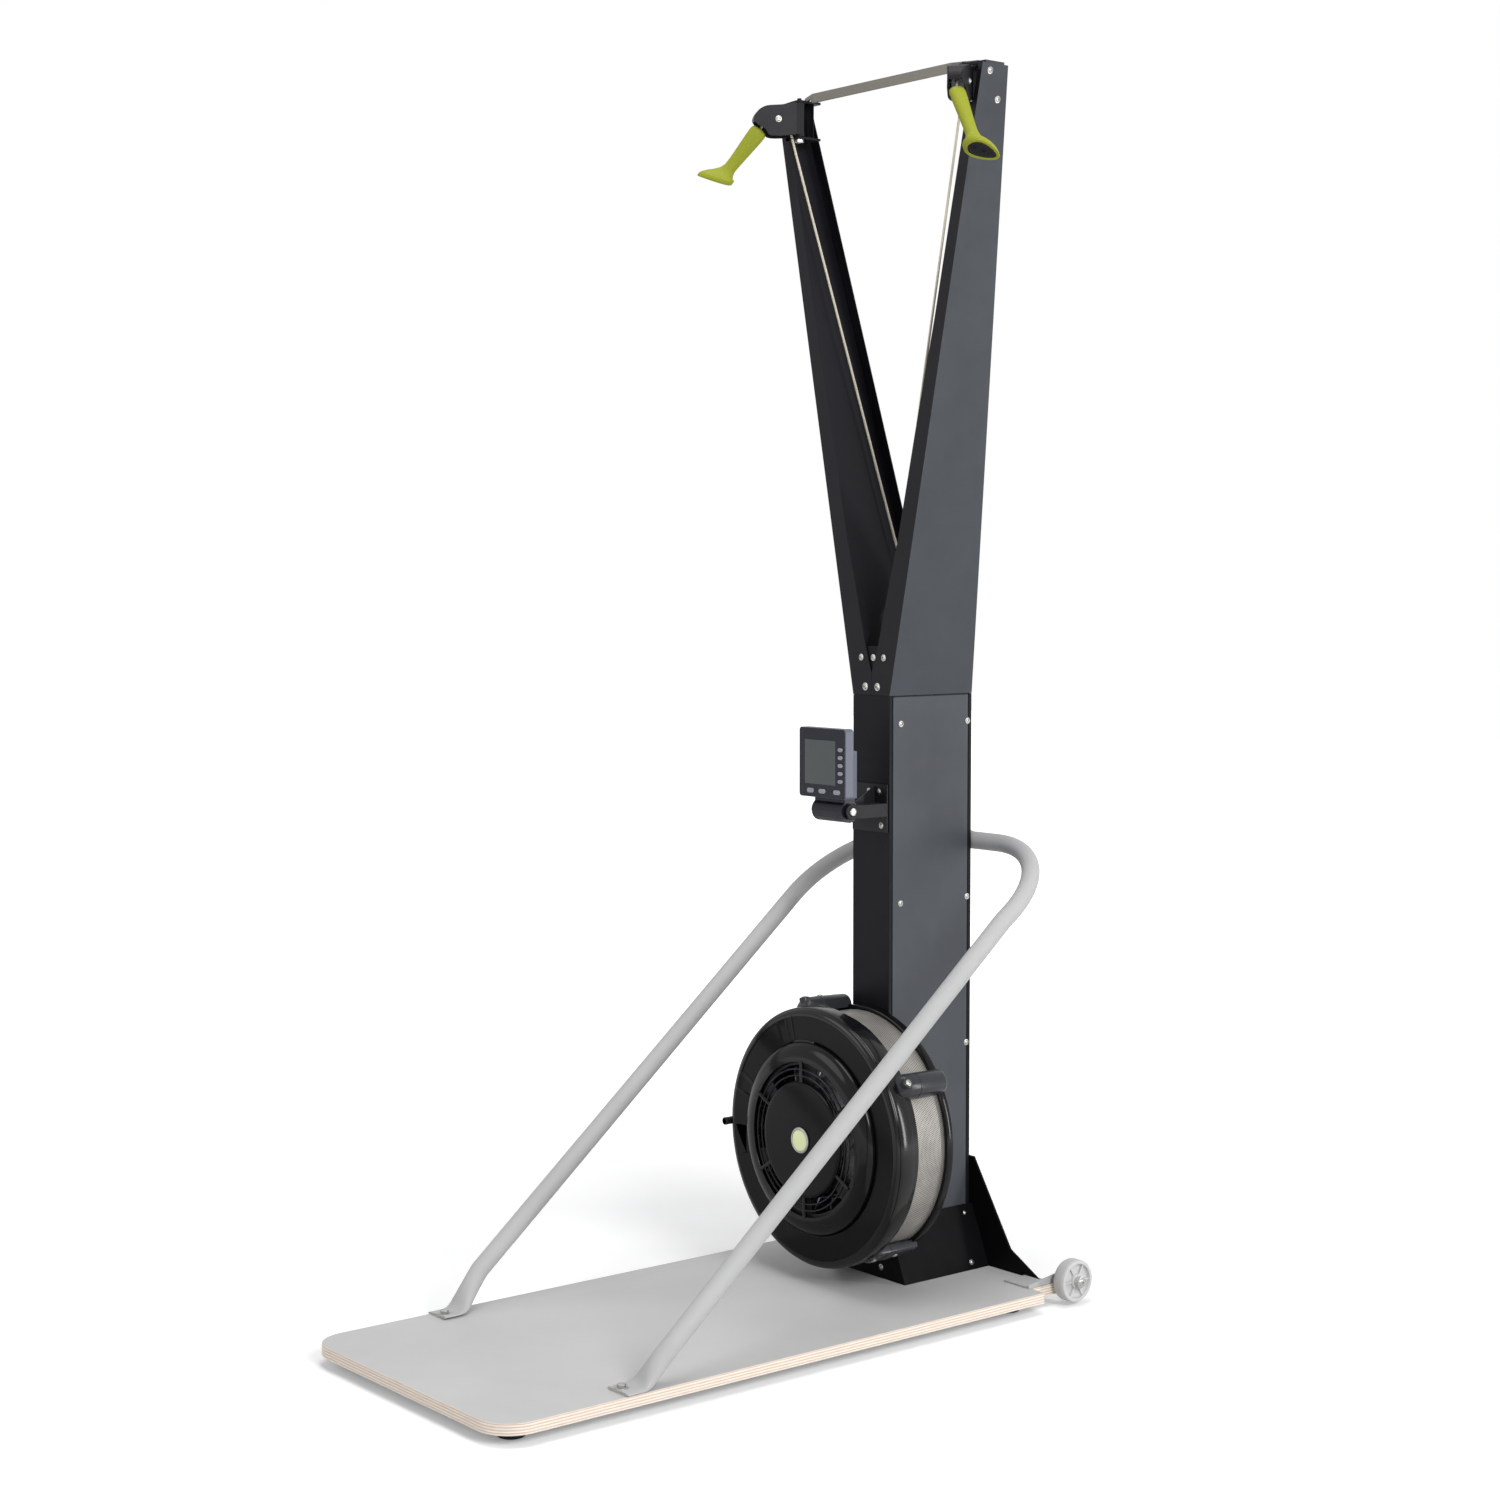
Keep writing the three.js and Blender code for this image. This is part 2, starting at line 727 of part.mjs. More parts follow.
// A folded channel of the column: a web, a short flush strip and a joggled flange under the side panel
function columnChannel(webY, inward) {
  const at = (depth) => webY + inward * depth;
  const under = columnHalfWidth - sheet - clearance;
  const half = [
    [columnHalfWidth, at(0)],
    [columnHalfWidth, at(columnStrip)],
    [under, at(columnStrip + sheet)],
    [under, at(columnFlange)],
    [under - sheet, at(columnFlange)],
    [under - sheet, at(columnStrip + sheet)],
    [columnHalfWidth - sheet, at(columnStrip)],
    [columnHalfWidth - sheet, at(sheet)],
  ];
  const mirrored = half.map(([x, y]) => [-x, y]).reverse();
  const body = extrude("z", outlineOf([...half, ...mirrored]), clearance, columnHeight - clearance);
  return cut(body, rod("y", [0, shaftZ], bearingRadius + clearance, webY - overrun, webY + overrun, 24));
}

function sidePanel(sign) {
  const lap = columnStrip + sheet + clearance;
  const xs = [sign * (columnHalfWidth - sheet), sign * columnHalfWidth];
  return block(xs, [lap, columnDepth - lap], [clearance, columnHeight - clearance]);
}

// Shoe round the column's foot: a front plate with a flared skirt on each side
function baseShoe() {
  const inner = columnHalfWidth + clearance;
  const bend = columnHalfWidth + shoeBendOut;
  const foot = columnHalfWidth + shoeFootOut;
  const skirt = [
    [inner, shoeTopZ],
    [inner + shoeWall, shoeTopZ],
    [bend, shoeBendZ],
    [foot, clearance],
    [foot - shoeWall * 1.2, clearance],
    [bend - shoeWall, shoeBendZ - shoeWall / 2],
    [inner, shoeTopZ - 4 * shoeWall],
  ];
  const face = [
    [inner + shoeWall, shoeTopZ],
    [bend, shoeBendZ],
    [foot, clearance],
  ];
  const mirror = (points) => points.map(([x, z]) => [-x, z]).reverse();
  const frontY = -clearance - shoeWall;
  const plate = extrude("y", outlineOf([...face, ...mirror(face)]), frontY, -clearance);
  const skirts = [skirt, mirror(skirt)].map((points) => extrude("y", outlineOf(points), frontY, shoeDepth));
  return joined(plate, skirts);
}

function rearGusset() {
  const half = [
    [columnHalfWidth + gussetTopOut, gussetTopZ],
    [columnHalfWidth + gussetBendOut, gussetBendZ],
    [columnHalfWidth + gussetFootOut, clearance],
  ];
  const mirrored = half.map(([x, z]) => [-x, z]).reverse();
  const frontY = shoeDepth + clearance;
  const plate = extrude("y", outlineOf([...half, ...mirrored]), frontY, frontY + gussetWall);
  return plate;
}

// The front flange's width along the arm, and how far down the inner wall's full slanting depth it has
const armFlangeShares = [
  { height: 0.085, width: 2.15, inner: 0 },
  { height: 0.19, width: 1.9, inner: 1 },
  { height: 0.257, width: 1.65, inner: 1 },
  { height: 0.43, width: 1.48, inner: 1 },
  { height: 0.61, width: 1.17, inner: 1 },
  { height: 1, width: 1, inner: 1 },
];

function armOuterX(height) {
  return columnHalfWidth + ((armTopHalfWidth - columnHalfWidth) * height) / armHeight;
}

// Folded arm: a leaning web, a rear flange, and a front flange with an inner wall, all tapering upward
function arm(sign) {
  const section = (height, flange, innerShare) => {
    const share = height / armHeight;
    const outer = armOuterX(height);
    const front = armTopFrontY * share;
    const rear = columnDepth + (armTopRearY - columnDepth) * share;
    const slant = armInnerBottomY + (armInnerTopY - armInnerBottomY) * share;
    const lip = front + sheet + clearance;
    const inner = lip + Math.max(0, slant - lip) * innerShare;
    const points = [
      [outer, front],
      [outer, rear],
      [outer - armRearFlange, rear],
      [outer - armRearFlange, rear - sheet],
      [outer - sheet, rear - sheet],
      [outer - sheet, front + sheet],
      [outer - flange + sheet, front + sheet],
      [outer - flange + sheet, inner],
      [outer - flange, inner],
      [outer - flange, front],
    ];
    return points.map(([x, y]) => new THREE.Vector3(sign * x, y, columnHeight + height));
  };
  const rings = [
    section(0, armOuterX(0) - clearance, 0),
    section(armMeetHeight, armOuterX(armMeetHeight) - clearance, 0),
    ...armFlangeShares.map(({ height, width, inner }) =>
      section(height * armHeight, width * armFlange, inner),
    ),
  ];
  const channel = loft(rings, (p) => new THREE.Vector2(p.x, p.y));
  const top = columnHeight + armHeight;
  const edge = (height) => sign * (armOuterX(height) - armNotchFlange);
  const notch = extrude(
    "y",
    outlineOf([
      [0, top - armNotchHeight],
      [edge(armHeight - armNotchHeight), top - armNotchHeight],
      [edge(armHeight + overrun), top + overrun],
      [0, top + overrun],
    ]),
    -armTopFrontY,
    armNotchDepth,
  );
  return joined(cut(channel, notch), headBracket(sign));
}

// Cap and tab at the arm's top, with the upright pin that the pulley head turns on
function headBracket(sign) {
  const top = columnHeight + armHeight;
  const tabTop = headZ - barrelBelow - runningClearance;
  const nose = (reachX) => [
    ...arc([pinX, pinY], barrelRadius, Math.PI, 1.5 * Math.PI, 4),
    [reachX, pinY],
    [reachX, pinY + tabReach],
    [pinX - barrelRadius, pinY + tabReach],
  ];
  const flip = (points) => outlineOf(points.map(([x, y]) => [sign * x, y]));
  const cap = extrude("z", flip(nose(armTopHalfWidth)), top - clearance, top + tabThickness);
  const webX = armOuterX(tabTop - columnHeight) - sheet / 2;
  const tab = extrude("z", flip(nose(webX)), tabTop - tabThickness, tabTop);
  const pinTop = top + tabThickness + pinRadius;
  const pin = rod("z", [sign * pinX, pinY], pinRadius, tabTop - 2 * tabThickness, pinTop, 12);
  const nutTop = tabTop - tabThickness;
  const nut = rod("z", [sign * pinX, pinY], 2 * pinRadius, nutTop - 1.5 * tabThickness, nutTop, 6);
  return joined(cap, tab, pin, nut);
}

// Strip between the arm tops, its ends bent back and cut up to lie on the arm caps
function crossbar() {
  const topZ = columnHeight + armHeight + barRise;
  const restZ = columnHeight + armHeight + tabThickness + clearance;
  const station = (x) => {
    const past = Math.max(0, Math.abs(x) - barStraightHalfSpan);
    const y = barY + past * Math.tan(barBendTurn);
    const rising = past > 0 ? restZ : topZ - barHeight;
    return [
      new THREE.Vector3(x, y - barThickness / 2, rising),
      new THREE.Vector3(x, y + barThickness / 2, rising),
      new THREE.Vector3(x, y + barThickness / 2, topZ),
      new THREE.Vector3(x, y - barThickness / 2, topZ),
    ];
  };
  const risen = (barStraightHalfSpan + pinX - barrelRadius) / 2;
  const stations = [-barHalfSpan, -risen, -barStraightHalfSpan, barStraightHalfSpan, risen, barHalfSpan];
  return loft(stations.map(station), (p) => new THREE.Vector2(p.y, p.z));
}

// The head's side outline, as shares of its length forward of the pin and of its half height
const headOutlineShares = [
  [0, -0.87],
  [0.44, -1],
  [0.59, -1],
  [0.69, -0.93],
  [0.75, -0.7],
  [0.81, -0.52],
  [0.92, -0.37],
  [1, -0.07],
  [0.985, 0.2],
  [0.93, 0.45],
  [0.84, 0.66],
  [0.7, 0.8],
  [0.41, 0.87],
  [0.09, 1],
  [0, 1],
];

// Moulded cheeks and crown of a pulley head, with the barrel for the pin and the pulley's bolt
function pulleyHousing() {
  const side = headOutlineShares.map(([along, up]) => [-along * headLength, up * headHalfHeight]);
  const shrink = 1 - headWall / headHalfHeight;
  const inside = side.map(([y, z]) => [-pulleyReach + (y + pulleyReach) * shrink * 0.98, z * shrink]);
  const inner = headHalfWidth - headWall;
  const body = extrude("x", outlineOf(side), -headHalfWidth, headHalfWidth);
  const plan = extrude(
    "z",
    outlineOf([
      [headHalfWidth, -headNeckLength],
      [barrelRadius, 0],
      [-barrelRadius, 0],
      [-headHalfWidth, -headNeckLength],
      [-headHalfWidth, -headLength * 0.86],
      [-headHalfWidth * 0.7, -headLength - overrun],
      [headHalfWidth * 0.7, -headLength - overrun],
      [headHalfWidth, -headLength * 0.86],
    ]),
    -headHalfHeight - overrun,
    headHalfHeight + overrun,
  );
  const hollow = extrude("x", outlineOf(inside), -inner, inner);
  const neck = [-headNeckLength, headNeckLength];
  const rear = block([-headHalfWidth, headHalfWidth], neck, [-headLength, headLength]);
  const mouth = block(
    [-inner, inner],
    [-headLength - overrun, -headNeckLength],
    [-headHalfHeight - overrun, -headHalfHeight / 3],
  );
  const barrel = rod("z", [0, 0], barrelRadius, -barrelBelow, barrelAbove, 16);
  const bore = rod("z", [0, 0], pinRadius + clearance, -barrelBelow - overrun, barrelAbove + overrun, 12);
  const bolt = rod("x", [-pulleyReach, 0], pulleyBoltRadius, -headHalfWidth, headHalfWidth, 12);
  const heads = Object.values(sides).map((sign) => {
    const span = [headHalfWidth - clearance, headHalfWidth + pulleyBoltHead].map((x) => sign * x);
    return rod("x", [-pulleyReach, 0], pulleyBoltHeadRadius, ...span, 6);
  });
  const cheeks = cut(body.intersect(plan), cut(hollow, rear), mouth);
  return joined(cut(joined(cheeks, barrel), bore), bolt, heads);
}

// A grooved pulley on the x or y axis
function groovedPulley(axis, bore, groove, flange, width, centre) {
  const half = width / 2;
  const lip = (flange - groove) / 2;
  const profile = [
    [bore, -half],
    [flange, -half],
    [flange, -half + lip],
    [groove, -cordRadius / 2],
    [groove, cordRadius / 2],
    [flange, half - lip],
    [flange, half],
    [bore, half],
  ];
  return revolve(axis, profile.map(([radius, along]) => [radius, along + centre]), 14);
}

// Sections of the handle from top to foot: how far down, how wide and deep, how much of the foot's form
const handleSectionShares = [
  { down: 0, width: 0.6, depth: 0.6, foot: 0 },
  { down: 0.03, width: 0.95, depth: 0.95, foot: 0 },
  { down: 0.1, width: 1, depth: 1, foot: 0 },
  { down: 0.45, width: 0.93, depth: 0.82, foot: 0 },
  { down: 0.76, width: 0.86, depth: 0.66, foot: 0.06 },
  { down: 0.86, width: 0.9, depth: 0.7, foot: 0.3 },
  { down: 0.94, width: 1, depth: 0.8, foot: 1 },
  { down: 1, width: 1, depth: 0.8, foot: 1 },
];

// One level ring of the handle; its front is the side with the longer foot
function handleRing(z, halfWidth, front, back, slant, count) {
  return ringOf([0, 0], 1, count).map(([u, v]) => {
    const y = -v * (v > 0 ? front : back);
    return new THREE.Vector3(u * halfWidth * (1 - 0.25 * Math.max(0, v) ** 2), y, z + y * Math.tan(slant));
  });
}

function handleGrip() {
  const rings = handleSectionShares.map(({ down, width, depth, foot }) => {
    const mix = (grip, footSize) => grip * (1 - foot) + footSize * foot;
    const halfWidth = mix(width * handleTopHalfWidth, handleFootHalfWidth);
    const front = mix(depth * handleTopHalfDepth, handleFootFront);
    const back = mix(depth * handleTopHalfDepth, handleFootBack);
    return handleRing(-down * handleLength, halfWidth, front, back, handleFootSlant * foot, 16);
  });
  return loft(rings, (p) => new THREE.Vector2(p.x, p.y));
}

function plugShape(margin, from, to) {
  const [halfWidth, front, back] = [handleFootHalfWidth, handleFootFront, handleFootBack].map(
    (size) => size - margin,
  );
  const rings = [from, to].map((z) => handleRing(z, halfWidth, front, back, handleFootSlant, 16));
  return loft(rings, (p) => new THREE.Vector2(p.x, p.y));
}

const handlePoses = {
  left: { forward: degrees(36.7), outward: degrees(17), twist: 0 },
  right: { forward: degrees(17), outward: degrees(21.5), twist: degrees(140) },
};

function handleGroup(parent, side, sign) {
  const pose = handlePoses[side];
  const handle = subgroup(parent, 0, -handleSeatReach, -handleSeatDrop);
  handle.rotation.set(-pose.forward, -sign * pose.outward, pose.twist, "YXZ");
  return handle;
}

function placeHandle(head, side, sign) {
  const handle = handleGroup(head, side, sign);
  const foot = -handleLength;
  const pocket = plugShape(plugMargin, foot - overrun, foot + plugDepth);
  place(handle, `handle_${side}`, cut(handleGrip(), pocket), "limePlastic");
  const plug = plugShape(plugMargin + clearance, foot, foot + plugDepth - clearance);
  place(handle, `handle_plug_${side}`, plug, "blackPlastic");
}

// Where a side's two cords meet, under its pulley head
function cordTop(side, sign, z) {
  return new THREE.Vector3(sign * (pinX + cordTopOut[side]), pinY - cordTopAhead[side], z);
}

// Cord over the head's pulley, from where it comes up under the head to where it meets the handle
function pullCord(head, side, sign) {
  const start = cordTop(side, sign, cordTopZ + cordRadius);
  start.sub(new THREE.Vector3(sign * pinX, pinY, headZ)).applyAxisAngle(Z, -sign * headSplay[side]);
  const wrap = topGrooveRadius + cordRadius + clearance;
  const leave = Math.atan2(handleSeatReach - pulleyReach, handleSeatDrop + wrap);
  const over = arc([-pulleyReach, 0], wrap, 0, Math.PI - leave, 8).map(
    ([y, z]) => new THREE.Vector3(0, y, z),
  );
  const end = new THREE.Vector3(0, -handleSeatReach, -handleSeatDrop);
  const seat = handleGroup(new THREE.Group(), side, sign);
  seat.updateMatrix();
  const across = [-handleTopHalfDepth, handleTopHalfDepth];
  const below = block(across, across, [-handleTopHalfDepth, clearance]);
  return cut(tube([start, ...over, end], cordRadius, 8), below.transform(seat.matrix.elements));
}

// Drive cord from under the head to its guide pulley in the crotch and down to its spool
function driveCord(side, sign) {
  const y = cordY[side];
  const wrap = guideGrooveRadius + cordRadius + runningClearance;
  const centreX = sign * guideX;
  const top = cordTop(side, sign, cordTopZ);
  const lean = Math.atan2(Math.abs(top.x - centreX), top.z - guideZ);
  const round = arc([0, 0], wrap, lean * 0.9, 0, 4).map(
    ([u, v]) => new THREE.Vector3(centreX - sign * u, y, guideZ + v),
  );
  const spoolX = -sign * (spoolRadius + cordRadius + clearance);
  return tube([top, ...round, new THREE.Vector3(spoolX, y, shaftZ)], cordRadius, 8);
}

// Elastic cord that winds each spool back, from its small drum to the guide pulley's axle
function returnCord(sign) {
  const y = sign > 0 ? cordY.right + returnCordOffset : cordY.left - returnCordOffset;
  const drumX = sign * (returnDrumRadius + returnCordRadius + clearance);
  const anchorZ = guideZ - guideAxleRadius - clearance;
  return tube(
    [new THREE.Vector3(drumX, y, shaftZ), new THREE.Vector3(sign * guideX, y, anchorZ)],
    returnCordRadius,
    8,
  );
}

// Carrier at the crotch: a plate behind each pair of arm flanges and the two guide axles between them
function pulleyCarrier() {
  const zs = [columnHeight - carrierBelow, columnHeight + carrierAbove];
  const xs = [-carrierHalfWidth, carrierHalfWidth];
  const near = sheet + 3 * clearance + (armTopFrontY * carrierAbove) / armHeight;
  const frontY = [near + carrierWall, near];
  const lean = ((columnDepth - armTopRearY) * carrierAbove) / armHeight;
  const rearY = columnDepth - sheet - clearance - lean;
  const front = block(xs, [frontY[1], frontY[0]], zs);
  const rear = block(xs, [rearY - carrierWall, rearY], zs);
  const axles = Object.values(sides).map((sign) =>
    rod("y", [sign * guideX, guideZ], guideAxleRadius, frontY[1] + clearance, rearY - clearance, 12),
  );
  const openTop = columnHeight + armMeetHeight;
  const wedge = extrude(
    "y",
    outlineOf([
      [0, openTop - 2 * overrun],
      [carrierHalfWidth, zs[1] + overrun],
      [-carrierHalfWidth, zs[1] + overrun],
    ]),
    rearY - overrun * 2,
    columnDepth,
  );
  return joined(front, cut(rear, wedge), axles);
}

function driveShaft() {
  const profile = [
    [0, -shaftAhead],
    [shaftRadius, -shaftAhead],
    [shaftRadius, shaftBehind],
    [0, shaftBehind],
  ];
  const nut = rod("y", [0, 0], shaftNutRadius, fanHubFrontY - shaftNutWidth, fanHubFrontY - clearance, 6);
  return joined(revolve("y", profile, 16), nut);
}

function shaftBearing(webY, outward) {
  const inner = -outward * (sheet + clearance);
  const at = (distance) => webY + inner - outward * distance;
  const profile = [
    [shaftRadius + clearance, at(bearingFlange)],
    [bearingFlangeRadius, at(bearingFlange)],
    [bearingFlangeRadius, at(0)],
    [bearingRadius, at(0)],
    [bearingRadius, webY + outward * bearingProud],
    [shaftRadius + clearance, webY + outward * bearingProud],
  ];
  return revolve("y", profile, 14);
}

// Spool with a wide drum for the drive cord and a small drum for the elastic cord
function cordSpool(sign) {
  const y = sign > 0 ? cordY.right : cordY.left;
  const half = spoolWidth / 2;
  const smallEnd = half + spoolFlange + returnDrumWidth;
  const profile = [
    [shaftRadius + clearance, -half - spoolFlange],
    [spoolFlangeRadius, -half - spoolFlange],
    [spoolFlangeRadius, -half],
    [spoolRadius, -half],
    [spoolRadius, half],
    [spoolFlangeRadius, half],
    [spoolFlangeRadius, half + spoolFlange],
    [returnDrumRadius, half + spoolFlange],
    [returnDrumRadius, smallEnd],
    [spoolRadius, smallEnd],
    [spoolRadius, smallEnd + spoolFlange],
    [shaftRadius + clearance, smallEnd + spoolFlange],
  ];
  return revolve("y", profile.map(([radius, along]) => [radius, y + sign * along]), 14);
}

// Air flywheel: hub, back disc and rim with leaning blades between the disc and a front ring
function flywheel() {
  const bore = shaftRadius + clearance;
  const inside = fanRadius - fanRimWidth;
  const body = revolve(
    "y",
    [
      [bore, fanHubFrontY],
      [fanHubRadius, fanHubFrontY],
      [fanHubRadius, fanBackY - fanDisc],
      [inside, fanBackY - fanDisc],
      [inside, fanBackY - 2 * fanDisc],
      [fanRadius, fanBackY - 2 * fanDisc],
      [fanRadius, fanBackY],
      [fanHubRadius, fanBackY],
      [fanHubRadius, fanHubBackY],
      [bore, fanHubBackY],
    ],
    fanSegments,
  );
  const ring = revolve(
    "y",
    [
      [inside - fanRimWidth, fanFrontY],
      [inside, fanFrontY],
      [inside, fanFrontY + fanDisc],
      [inside - fanRimWidth, fanFrontY + fanDisc],
    ],
    fanSegments,
  );
  const across = fanInnerRadius * Math.sin(fanBladeLean);
  const bladeEnd = Math.sqrt((inside - fanRimWidth / 2) ** 2 - across ** 2);
  const bladeLength = bladeEnd - fanInnerRadius * Math.cos(fanBladeLean);
  const blades = [];
  for (let i = 0; i < fanBladeCount; i += 1) {
    const blade = new THREE.BoxGeometry(bladeLength, fanBackY - fanFrontY - fanDisc, fanBladeThickness);
    blade.translate(bladeLength / 2, (fanBackY + fanFrontY) / 2, 0);
    blade.rotateY(fanBladeLean);
    blade.translate(fanInnerRadius, 0, 0);
    blade.rotateY((fullTurn * i) / fanBladeCount);
    blades.push(solid(blade));
  }
  return joined(body, ring, blades);
}

// The front shell's outer surface from its disc to its rim, as [radius, y]
function shellProfile() {
  const shoulderCentre = [shellRadius - shellShoulder, faceY + shellShoulder];
  const bandCentre = [grilleOuterRadius + cageWall, bandBackY];
  const bandReach = bandOuterRadius - bandCentre[0];
  const bandRise = bandBackY - grilleFrontY;
  const onBand = ([u, v]) => [bandCentre[0] + u * bandReach, bandBackY - v * bandRise];
  const onShoulder = ([u, v]) => [shoulderCentre[0] + u, shoulderCentre[1] - v];
  const band = arc([0, 0], 1, Math.PI / 2, 0, 3).map(onBand);
  const shoulder = arc([0, 0], shellShoulder, Math.PI / 2, 0, 3).map(onShoulder);
  return { band, shoulder };
}

// Front shell: disc, slotted grille, convex band, flat face, round shoulder and stepped side wall
function cageFront() {
  const { band, shoulder } = shellProfile();
  const inner = screenRadius + clearance;
  const step = cageWall / 2;
  const outside = [
    [hubCapRadius / 2, discFrontY],
    [discRadius, discFrontY],
    [discRadius + step, grilleFrontY],
    ...band,
    [bandOuterRadius + step, faceY],
    ...shoulder,
    [shellRadius, shellWaistY - cageWall],
    [shellWaistRadius, shellWaistY],
    [shellWaistRadius, shellRimY],
    [inner, shellRimY],
  ];
  const seat = shellRimY - screenLap - clearance;
  const back = ([radius, y]) => [radius - cageWall * 0.7, y + cageWall];
  const inside = [
    [inner, seat],
    [inner - cageWall, seat],
    [inner - cageWall, seat - cageWall],
    [shellWaistRadius - cageWall, seat - 2 * cageWall],
    [shellWaistRadius - cageWall, shoulder[3][1]],
    back(shoulder[0]),
    [bandOuterRadius + cageWall, faceY + cageWall],
    back(band[2]),
    back(band[0]),
    [damperRimRadius + step, grilleFrontY + cageWall],
    [damperRimRadius - clearance, grilleFrontY + cageWall],
    [damperRimRadius - clearance, grilleFrontY + damperRimDepth],
    [damperRimRadius - clearance - damperRimWall, grilleFrontY + damperRimDepth],
    [damperRimRadius - clearance - damperRimWall, discFrontY + cageWall],
    [hubCapRadius / 2, discFrontY + cageWall],
  ];
  const shell = revolve("y", [...outside, ...inside], cageSegments);
  const slots = grilleSlots();
  const panel = extrude(
    "y",
    sectorOutline(bandOuterRadius + 2 * step, shellRadius - shellShoulder, panelFromTurn, panelToTurn, 8),
    faceY - overrun,
    faceY + panelDepth,
  );
  const slotFrom = damperLeverTurn - damperLeverWidth / damperKnobReach;
  const leverSlot = extrude(
    "y",
    sectorOutline(damperOuterRadius, shellRadius + overrun, slotFrom, slotFrom + damperSlotTurn, 6),
    damperOuterY - cageWall / 2,
    damperOuterY + damperSheet + cageWall / 2,
  );
  return joined(cut(shell, slots, panel, leverSlot), cageLugs());
}

// Rings of slots between the grille's spokes
function grilleSlots() {
  const slots = [];
  const pitch = (grilleOuterRadius - discRadius) / grilleRingCount;
  for (let ring = 0; ring < grilleRingCount; ring += 1) {
    const inner = discRadius + grilleBarWidth / 2 + ring * pitch;
    const outer = inner + pitch - grilleBarWidth;
    for (let spoke = 0; spoke < grilleSpokeCount; spoke += 1) {
      const half = grilleSpokeWidth / 2 / inner;
      const start = grilleSpokeTurn + (fullTurn * spoke) / grilleSpokeCount;
      const end = start + fullTurn / grilleSpokeCount;
      const outline = sectorOutline(inner, outer, start + half, end - half, 3);
      slots.push(extrude("y", outline, discFrontY - overrun, grilleFrontY + 2 * overrun));
    }
  }
  return slots;
}

// A lug's sections from its front to its back, as shares of its length, width and height
const lugShares = [
  { along: 0, width: 0.6, height: 0.3 },
  { along: 0.19, width: 1, height: 1 },
  { along: 1, width: 0.92, height: 0.86 },
];

// Four round-topped lugs that reach back over the screen to the rear shell
function cageLugs() {
  const foot = rearShellRadius + clearance;
  return lugTurns.map((turn) => {
    const rings = lugShares.map(({ along, width, height }) => {
      const y = lugFrontY + (lugBackY - lugFrontY) * along;
      const half = lugHalfWidth * width;
      const crown = arc([0, 0], 1, 0, Math.PI, 4).map(([u, v]) => [u * half, foot + lugHeight * height * v]);
      const base = Math.sqrt(foot ** 2 - half ** 2);
      const rest = [[-half, foot - (foot - base) / 2], [half, foot - (foot - base) / 2]];
      return [...crown, ...rest].map(([x, z]) => new THREE.Vector3(x, y, z));
    });
    rings.flat().forEach((p) => p.applyAxisAngle(Y, Math.PI / 2 - turn));
    const lug = loft(rings, (p) => new THREE.Vector2(p.x, p.z));
    const from = lugFrontY - overrun;
    const inside = rod("y", [0, 0], foot + 4 * clearance, from, lugBackY + overrun, cageSegments);
    const seat = rod("y", [0, 0], shellWaistRadius - cageWall / 2, from, shellRimY - cageWall, cageSegments);
    const across = [-shellRadius, shellRadius];
    const ahead = block(across, [from, shellWaistY], across);
    return cut(lug, cut(inside, ahead, seat));
  });
}

function cageScreen() {
  const profile = [
    [screenRadius - screenSheet, shellRimY - screenLap],
    [screenRadius, shellRimY - screenLap],
    [screenRadius, rearShellFrontY + screenLap],
    [screenRadius - screenSheet, rearShellFrontY + screenLap],
  ];
  return revolve("y", profile, cageSegments);
}

// Rear shell: a dish round the screen's rear edge, with a boss that stands off the column
function cageRear() {
  const inner = screenRadius + clearance;
  const wall = rearShellBackY - cageWall;
  const bore = bearingRadius + clearance;
  const profile = [
    [inner, rearShellFrontY],
    [rearShellRadius, rearShellFrontY],
    [rearShellRadius, rearShellBackY - cageWall],
    [rearShellRadius - cageWall, rearShellBackY],
    [rearBossRadius, rearShellBackY],
    [rearBossRadius, -clearance],
    [bore, -clearance],
    [bore, wall],
    [inner, wall],
  ];
  return revolve("y", profile, cageSegments);
}

function hubCap() {
  const back = discFrontY - clearance;
  const profile = [
    [0, back],
    [hubCapRadius, back],
    [hubCapRadius, back - hubCapThickness / 2],
    [hubCapRadius - hubCapThickness / 2, back - hubCapThickness],
    [hubCapRadius - hubCapThickness, back - hubCapThickness],
    [hubCapRadius - hubCapThickness, back - hubCapThickness * 0.7],
    [0, back - hubCapThickness * 0.7],
  ];
  return revolve("y", profile, 20);
}

